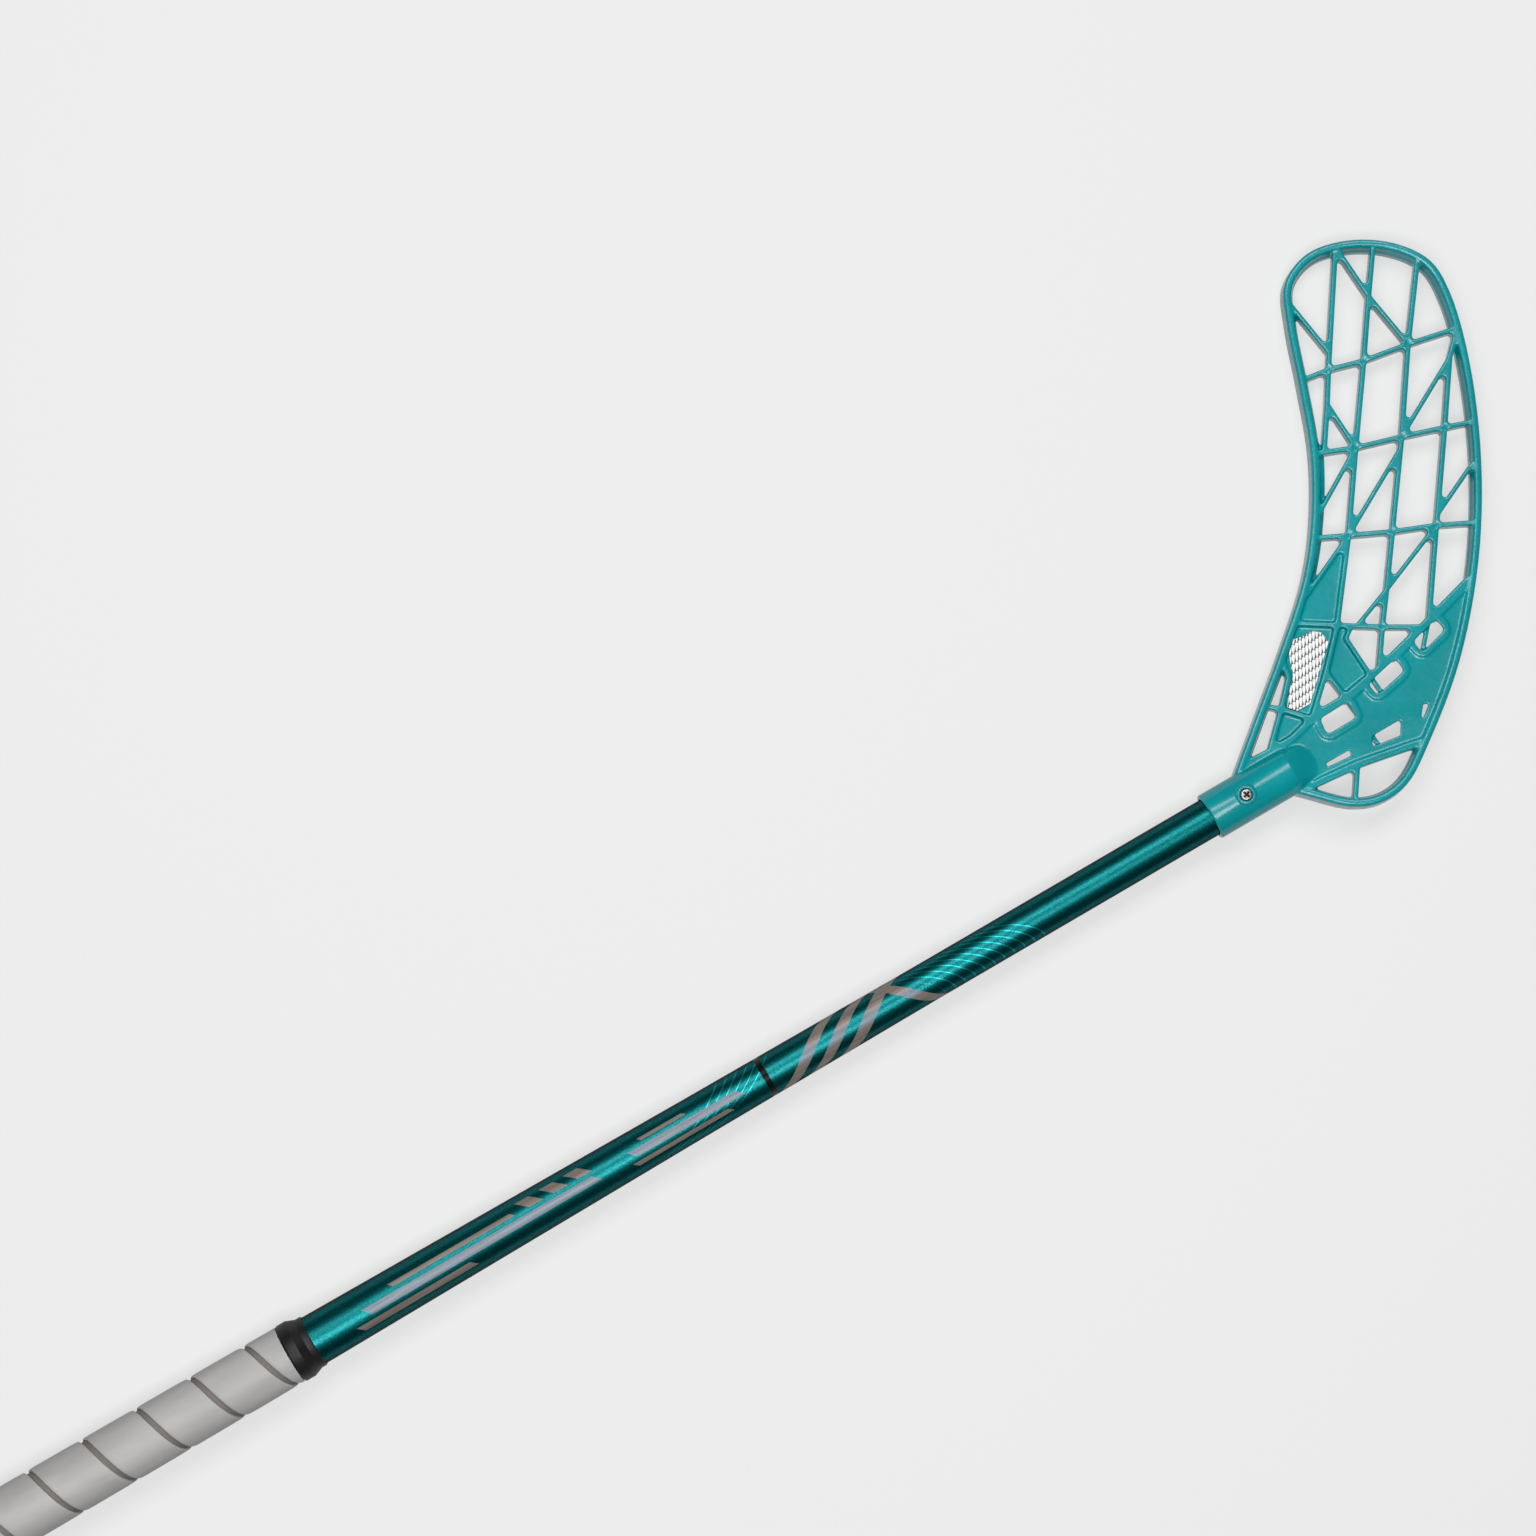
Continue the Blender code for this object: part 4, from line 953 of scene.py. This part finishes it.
def make_grip(tape, edge):
    """The tape, wound as one helix over the tapering shaft, with its thin dark edge in the groove."""
    end = RING_BACK - PLAY
    turns = (end - BUTT + BAND_PITCH - BAND_GROOVE - 2 * BAND_BLUNT_START) / BAND_PITCH
    inputs = {
        "Turns": turns, "Pitch": BAND_PITCH, "Groove": BAND_GROOVE, "Thickness": BAND_THICKNESS,
        "Start": BUTT, "End": end, "Phase": BAND_PHASE, "Blunt start": BAND_BLUNT_START,
        "Lead": (BAND_BLUNT_START + BAND_GROOVE) / BAND_PITCH, "Steps": int(turns * BAND_TURN_STEPS),
        "Tape": tape, "Edge": edge,
    }
    tree = Tree("wound_tape", inputs)
    value = tree.start
    half = tree.math("DIVIDE", tree.math("SUBTRACT", value["Pitch"], value["Groove"]), 2.0)
    pad_low = tree.math("MULTIPLY", half, -1.0)
    pad = wound_strip(tree, half, pad_low, half, value["Thickness"], BAND_ROUNDNESS, PLAY, 0.0)
    lip_low = tree.math("SUBTRACT", half, EDGE_TUCK)
    lip_high = tree.math("ADD", tree.math("ADD", half, value["Groove"]), EDGE_TUCK)
    lip = wound_strip(
        tree, half, lip_low, lip_high, EDGE_THICKNESS, EDGE_ROUNDNESS, PLAY / 2, value["Lead"]
    )
    joined = tree.node("GeometryNodeJoinGeometry")
    for strip in (tree.coloured(lip, "Edge"), tree.coloured(pad, "Tape")):
        tree.put(joined.inputs[0], strip)
    grip = tree.grow(tree.realised(joined.outputs[0]), "wound_grip")
    tidy_mesh(grip)
    smooth_with_edges(grip, degrees=60.0)
    finish_piece(grip, "stick", "grip_band", "grip_band")


# Inlay

def make_scale_shape():
    """One scale: round and as wide as its column above, narrowing to a blunt tip below."""
    radius, half = SCALE_WIDTH / 2, SCALE_LENGTH / 2
    side = []
    for k in range(1, SCALE_ROUND_STEPS + 1):
        turn = math.pi / 2 * k / SCALE_ROUND_STEPS
        side.append((radius * math.sin(turn), half - radius * (1 - math.cos(turn))))
    side += [(radius, SCALE_NECK), (SCALE_TIP_WIDTH / 2, -half)]
    outline = [(-x, y) for x, y in reversed(side)] + [(0.0, half)] + side
    levels = (
        (1.0, 1.0, -SCALE_ROOT), (1.0, 1.0, SCALE_HEIGHT / 2),
        (SCALE_TOP_WIDTH, SCALE_TOP_LENGTH, SCALE_HEIGHT),
    )
    points = [(x * width, y * length, height) for width, length, height in levels for x, y in outline]
    count = len(outline)
    faces = [tuple(range(count)), tuple(range(2 * count, 3 * count))]
    for ring in (0, count):
        for k in range(count):
            j = (k + 1) % count
            faces.append((ring + k, ring + j, ring + count + j, ring + count + k))
    shape = piece_from("scale_shape", points, faces)
    tidy_mesh(shape)
    return shape


def scale_spots(tree):
    """Points over the plate's top, in columns along the blade, each shifted a step against the last."""
    value = tree.start
    last_column = tree.math("SUBTRACT", value["Columns"], 1.0)
    last_row = tree.math("SUBTRACT", value["Rows"], 1.0)
    inputs = {
        "Size X": last_column, "Size Y": last_row,
        "Vertices X": value["Columns"], "Vertices Y": value["Rows"],
    }
    grid = tree.node("GeometryNodeMeshGrid", inputs).outputs[0]
    x, y, _ = tree.position()
    column = tree.math("ADD", x, tree.math("DIVIDE", last_column, 2.0))
    row = tree.math("ADD", y, tree.math("DIVIDE", last_row, 2.0))
    across = tree.math("MULTIPLY_ADD", column, value["Step across"], value["Low across"])
    rise = tree.math("FLOORED_MODULO", tree.math("MULTIPLY", column, value["Step rise"]), value["Pitch"])
    along = tree.math("ADD", tree.math("MULTIPLY_ADD", row, value["Pitch"], value["Low along"]), rise)
    along = tree.math("SUBTRACT", along, value["Pitch"])
    share = tree.math("MAXIMUM", tree.math("SUBTRACT", along, HOOK_START), 0.0)
    share = tree.math("DIVIDE", share, BLADE_LENGTH - HOOK_START)
    height = tree.math("MULTIPLY_ADD", tree.math("MULTIPLY", share, share), HOOK_RISE, value["Top"])
    cosine, sine = math.cos(LIE_ANGLE), math.sin(LIE_ANGLE)
    stick_x = tree.math("MULTIPLY_ADD", across, sine, tree.math("MULTIPLY", along, cosine))
    stick_y = tree.math("MULTIPLY_ADD", across, -cosine, tree.math("MULTIPLY", along, sine))
    return tree.moved(grid, tree.combine(stick_x, stick_y, height))


def grow_scales(plate, scale_shape, white):
    """The rows of scales, as far as they reach the plate."""
    across, along, height = blade_layout(mesh_points(plate.data))
    columns = int(np.ptp(across) / SCALE_STEP_ACROSS) + SPARE_ROWS
    rows = int(np.ptp(along) / SCALE_PITCH) + columns // 2 + SPARE_ROWS
    inputs = {
        "Scale": scale_shape, "Plate": plate, "White": white,
        "Step across": SCALE_STEP_ACROSS, "Step rise": SCALE_STEP_RISE, "Pitch": SCALE_PITCH,
        "Columns": columns, "Rows": rows, "Low across": float(across.min()),
        "Low along": float(along.min()), "Top": float(height.max()),
    }
    tree = Tree("scale_rows", inputs)
    spots = scale_spots(tree)
    nearness = tree.node("GeometryNodeProximity", {"Target": tree.shape_of("Plate")})
    far = tree.math("GREATER_THAN", nearness.outputs["Distance"], SCALE_REACH)
    spots = tree.node("GeometryNodeDeleteGeometry", {"Geometry": spots, "Selection": far}).outputs[0]
    turn = tree.combine(0.0, 0.0, LIE_ANGLE - math.pi / 2)
    inputs = {"Points": spots, "Instance": tree.shape_of("Scale"), "Rotation": turn}
    scales = tree.node("GeometryNodeInstanceOnPoints", inputs).outputs[0]
    return tree.grow(tree.coloured(tree.realised(scales), "White"), "scale_pattern")


def plate_prism(plate):
    """The plate stretched upwards, to cut the scales at its outline."""
    mesh = plate.data.copy()
    points = mesh_points(mesh)
    _, _, height = blade_layout(points)
    middle = (height.min() + height.max()) / 2
    points[:, 2] += np.where(height > middle, PRISM_TOP_RISE, PRISM_BOTTOM_RISE)
    set_points(mesh, points)
    return linked("inlay_prism", mesh)


def make_inlay(white, shade_ground):
    """The inlay's plate in its bed, and its rows of scales, cut off at the plate's outline."""
    plate = merged_copy("textured_inlay", "inlay_plate")
    scale_shape = make_scale_shape()
    pattern = grow_scales(plate, scale_shape, white)
    bpy.data.objects.remove(scale_shape)
    cut(pattern, plate_prism(plate), "INTERSECT")
    give_finish(pattern, white)
    smooth_with_edges(pattern, degrees=50.0)
    # Painted shade: the plate between the scales gets the near-black ground.
    give_finish(plate, shade_ground)
    finish_piece(plate, "stick", "inlay_silver", "textured_inlay")
    finish_piece(pattern, "stick", "inlay_silver")


# Screws

def make_cross_arm(turn, top, recess):
    """A cutter for one arm of the cross, narrower and shorter towards its bottom."""
    points = []
    for height, span, width in CROSS_LEVELS:
        for x, y in ((-1, -1), (1, -1), (1, 1), (-1, 1)):
            points.append((x * CROSS_SPAN / 2 * span, y * CROSS_WIDTH / 2 * width, top + height))
    faces = [(0, 1, 2, 3), (7, 6, 5, 4), (0, 4, 5, 1), (1, 5, 6, 2), (2, 6, 7, 3), (3, 7, 4, 0)]
    # The arm carries the near-black painted shade into the cross that it cuts.
    arm = piece_from("cross_arm", points, faces, [recess], smooth=False)
    arm.data.transform(Matrix.Rotation(turn, 4, "Z"))
    tidy_mesh(arm)
    return arm


def make_thread(steel):
    """The threaded shank, from under the head to the point: a cylinder whose radius follows a helix."""
    inputs = {
        "Length": SCREW_LENGTH, "Radius": SCREW_SHANK_OD / 2, "Pitch": THREAD_PITCH,
        "Depth": THREAD_DEPTH, "Point": SCREW_POINT, "Steel": steel,
    }
    tree = Tree("screw_thread", inputs)
    value = tree.start
    inputs = {
        "Vertices": THREAD_SIDES, "Side Segments": THREAD_STEPS, "Radius": 1.0, "Depth": value["Length"],
    }
    cylinder = tree.node("GeometryNodeMeshCylinder", inputs, fill_type="NGON").outputs["Mesh"]
    x, y, z = tree.position()
    around = tree.math("DIVIDE", tree.math("ARCTAN2", y, x), 2 * math.pi)
    phase = tree.math("SUBTRACT", tree.math("DIVIDE", z, value["Pitch"]), around)
    ridge = tree.math("MULTIPLY", tree.math("PINGPONG", phase, 0.5), 2.0)
    root = tree.math("SUBTRACT", value["Radius"], value["Depth"])
    radius = tree.math("MULTIPLY_ADD", ridge, value["Depth"], root)
    foot = tree.math("ADD", z, tree.math("DIVIDE", value["Length"], 2.0))
    taper = tree.ramp(foot, 0.0, value["Point"], SCREW_POINT_SHARE, 1.0)
    radius = tree.math("MULTIPLY", radius, taper)
    lift = tree.math("SUBTRACT", tree.math("ADD", foot, SCREW_UNDER), value["Length"])
    place = tree.combine(tree.math("MULTIPLY", radius, x), tree.math("MULTIPLY", radius, y), lift)
    shank = tree.realised(tree.moved(cylinder, place))
    return tree.grow(tree.coloured(shank, "Steel"), "threaded_shank")


def take_in(obj, other):
    """Adds the other object's mesh to this one's, and uses it up."""
    bm = bmesh.new()
    bm.from_mesh(obj.data)
    bm.from_mesh(other.data)
    bm.to_mesh(obj.data)
    bm.free()
    bpy.data.objects.remove(other)


def make_screw(side, face, steel, recess):
    """A pan-head screw: domed head with a cross recess, and a threaded shank."""
    head, under, chamfer = SCREW_HEAD_OD / 2, SCREW_UNDER, HEAD_CHAMFER
    top = under + SCREW_HEAD_HEIGHT
    edge = under + HEAD_SIDE
    profile = [(under, 0.0), (under, head - chamfer), (under + chamfer, head)]
    for k in range(HEAD_STEPS):
        turn = math.pi / 2 * k / HEAD_STEPS
        profile.append((edge + (top - edge) * math.sin(turn), head * math.cos(turn) ** HEAD_FLATNESS))
    profile.append((top, 0.0))
    screw = piece_from(f"{face}_screw", *lathe(profile, HEAD_SIDES, "Z"), [steel])
    tidy_mesh(screw)
    # The cut faces take the cross arms' near-black painted shade.
    for turn in (CROSS_TURN, CROSS_TURN + math.pi / 2):
        cut(screw, make_cross_arm(turn, top, recess), materials="TRANSFER")
    take_in(screw, make_thread(steel))
    screw.data.transform(Matrix.Translation((SCREW_X, 0.0, 0.0)))
    if side < 0:
        screw.data.transform(Matrix.Rotation(math.pi, 4, "X"))
    smooth_with_edges(screw, degrees=35.0)
    finish_piece(screw, f"{face}_screw", "screw_steel", f"blade_screw_{face}")


# Stage: floor, lights, world and camera

def make_floor():
    """A pale floor that glows a little, so that the shadow on it stays light."""
    half = FLOOR_SIZE / 2
    corners = [(-half, -half, 0), (half, -half, 0), (half, half, 0), (-half, half, 0)]
    finish = Finish("floor_paint", FLOOR_COLOUR, roughness=0.9, Specular_IOR_Level=0.1)
    rays = finish.node("ShaderNodeLightPath").outputs
    seen = finish.math("ADD", rays["Is Camera Ray"], rays["Is Glossy Ray"])
    seen = finish.math("ADD", seen, rays["Is Transmission Ray"], clamp=True)
    finish.set("Emission Color", (1.0, 1.0, 1.0, 1.0))
    finish.set("Emission Strength", finish.math("MULTIPLY", seen, FLOOR_GLOW))
    floor = piece_from("floor", corners, [(0, 1, 2, 3)], [finish.material], smooth=False)


def make_lights():
    """A dim grey world, and soft boxes that the camera doesn't see."""
    world = bpy.data.worlds.new("studio")
    bpy.context.scene.world = world
    world.use_nodes = True
    world.node_tree.nodes["Background"].inputs["Color"].default_value = (*WORLD_COLOUR, 1.0)
    for name, (place, aim, width, length, power) in SOFT_BOXES.items():
        data = bpy.data.lights.new(name, "AREA")
        data.shape = "RECTANGLE"
        data.size = length
        data.size_y = width
        data.energy = power
        light = linked(name, data)
        light.location = place
        light.visible_camera = False
        light.rotation_euler = (Vector(aim) - Vector(place)).to_track_quat("-Z", "Y").to_euler()


def make_camera():
    """The photo's camera, high over the stick."""
    data = bpy.data.cameras.new("photo_camera")
    camera = linked("photo_camera", data)
    back = (CAMERA_PLACE - CAMERA_AIM).normalized()
    right = Vector((math.cos(CAMERA_ROLL), -math.sin(CAMERA_ROLL), 0.0))
    right = (right - back * right.dot(back)).normalized()
    turn = Matrix((right, back.cross(right), back)).transposed().to_4x4()
    camera.matrix_world = Matrix.Translation(MOUTH + CAMERA_PLACE) @ turn
    data.lens = CAMERA_LENS
    data.sensor_width = CAMERA_SENSOR
    bpy.context.scene.camera = camera


def main():
    make_camera()
    make_floor()
    make_lights()
    make_blade(blade_plastic())
    make_inlay(inlay_white(), inlay_ground_painted_shade())
    make_shaft(shaft_paint())
    make_grip(grip_tape(), grip_edge())
    make_ring(ring_rubber())
    make_cap(cap_plastic())
    give_finish(frame["nodes"]["holding_tape"], holding_tape())
    steel, recess = screw_steel(), painted_recess_shade()
    for side, face in ((1, "front"), (-1, "back")):
        make_screw(side, face, steel, recess)
    bpy.context.scene.view_settings.view_transform = "Standard"


main()
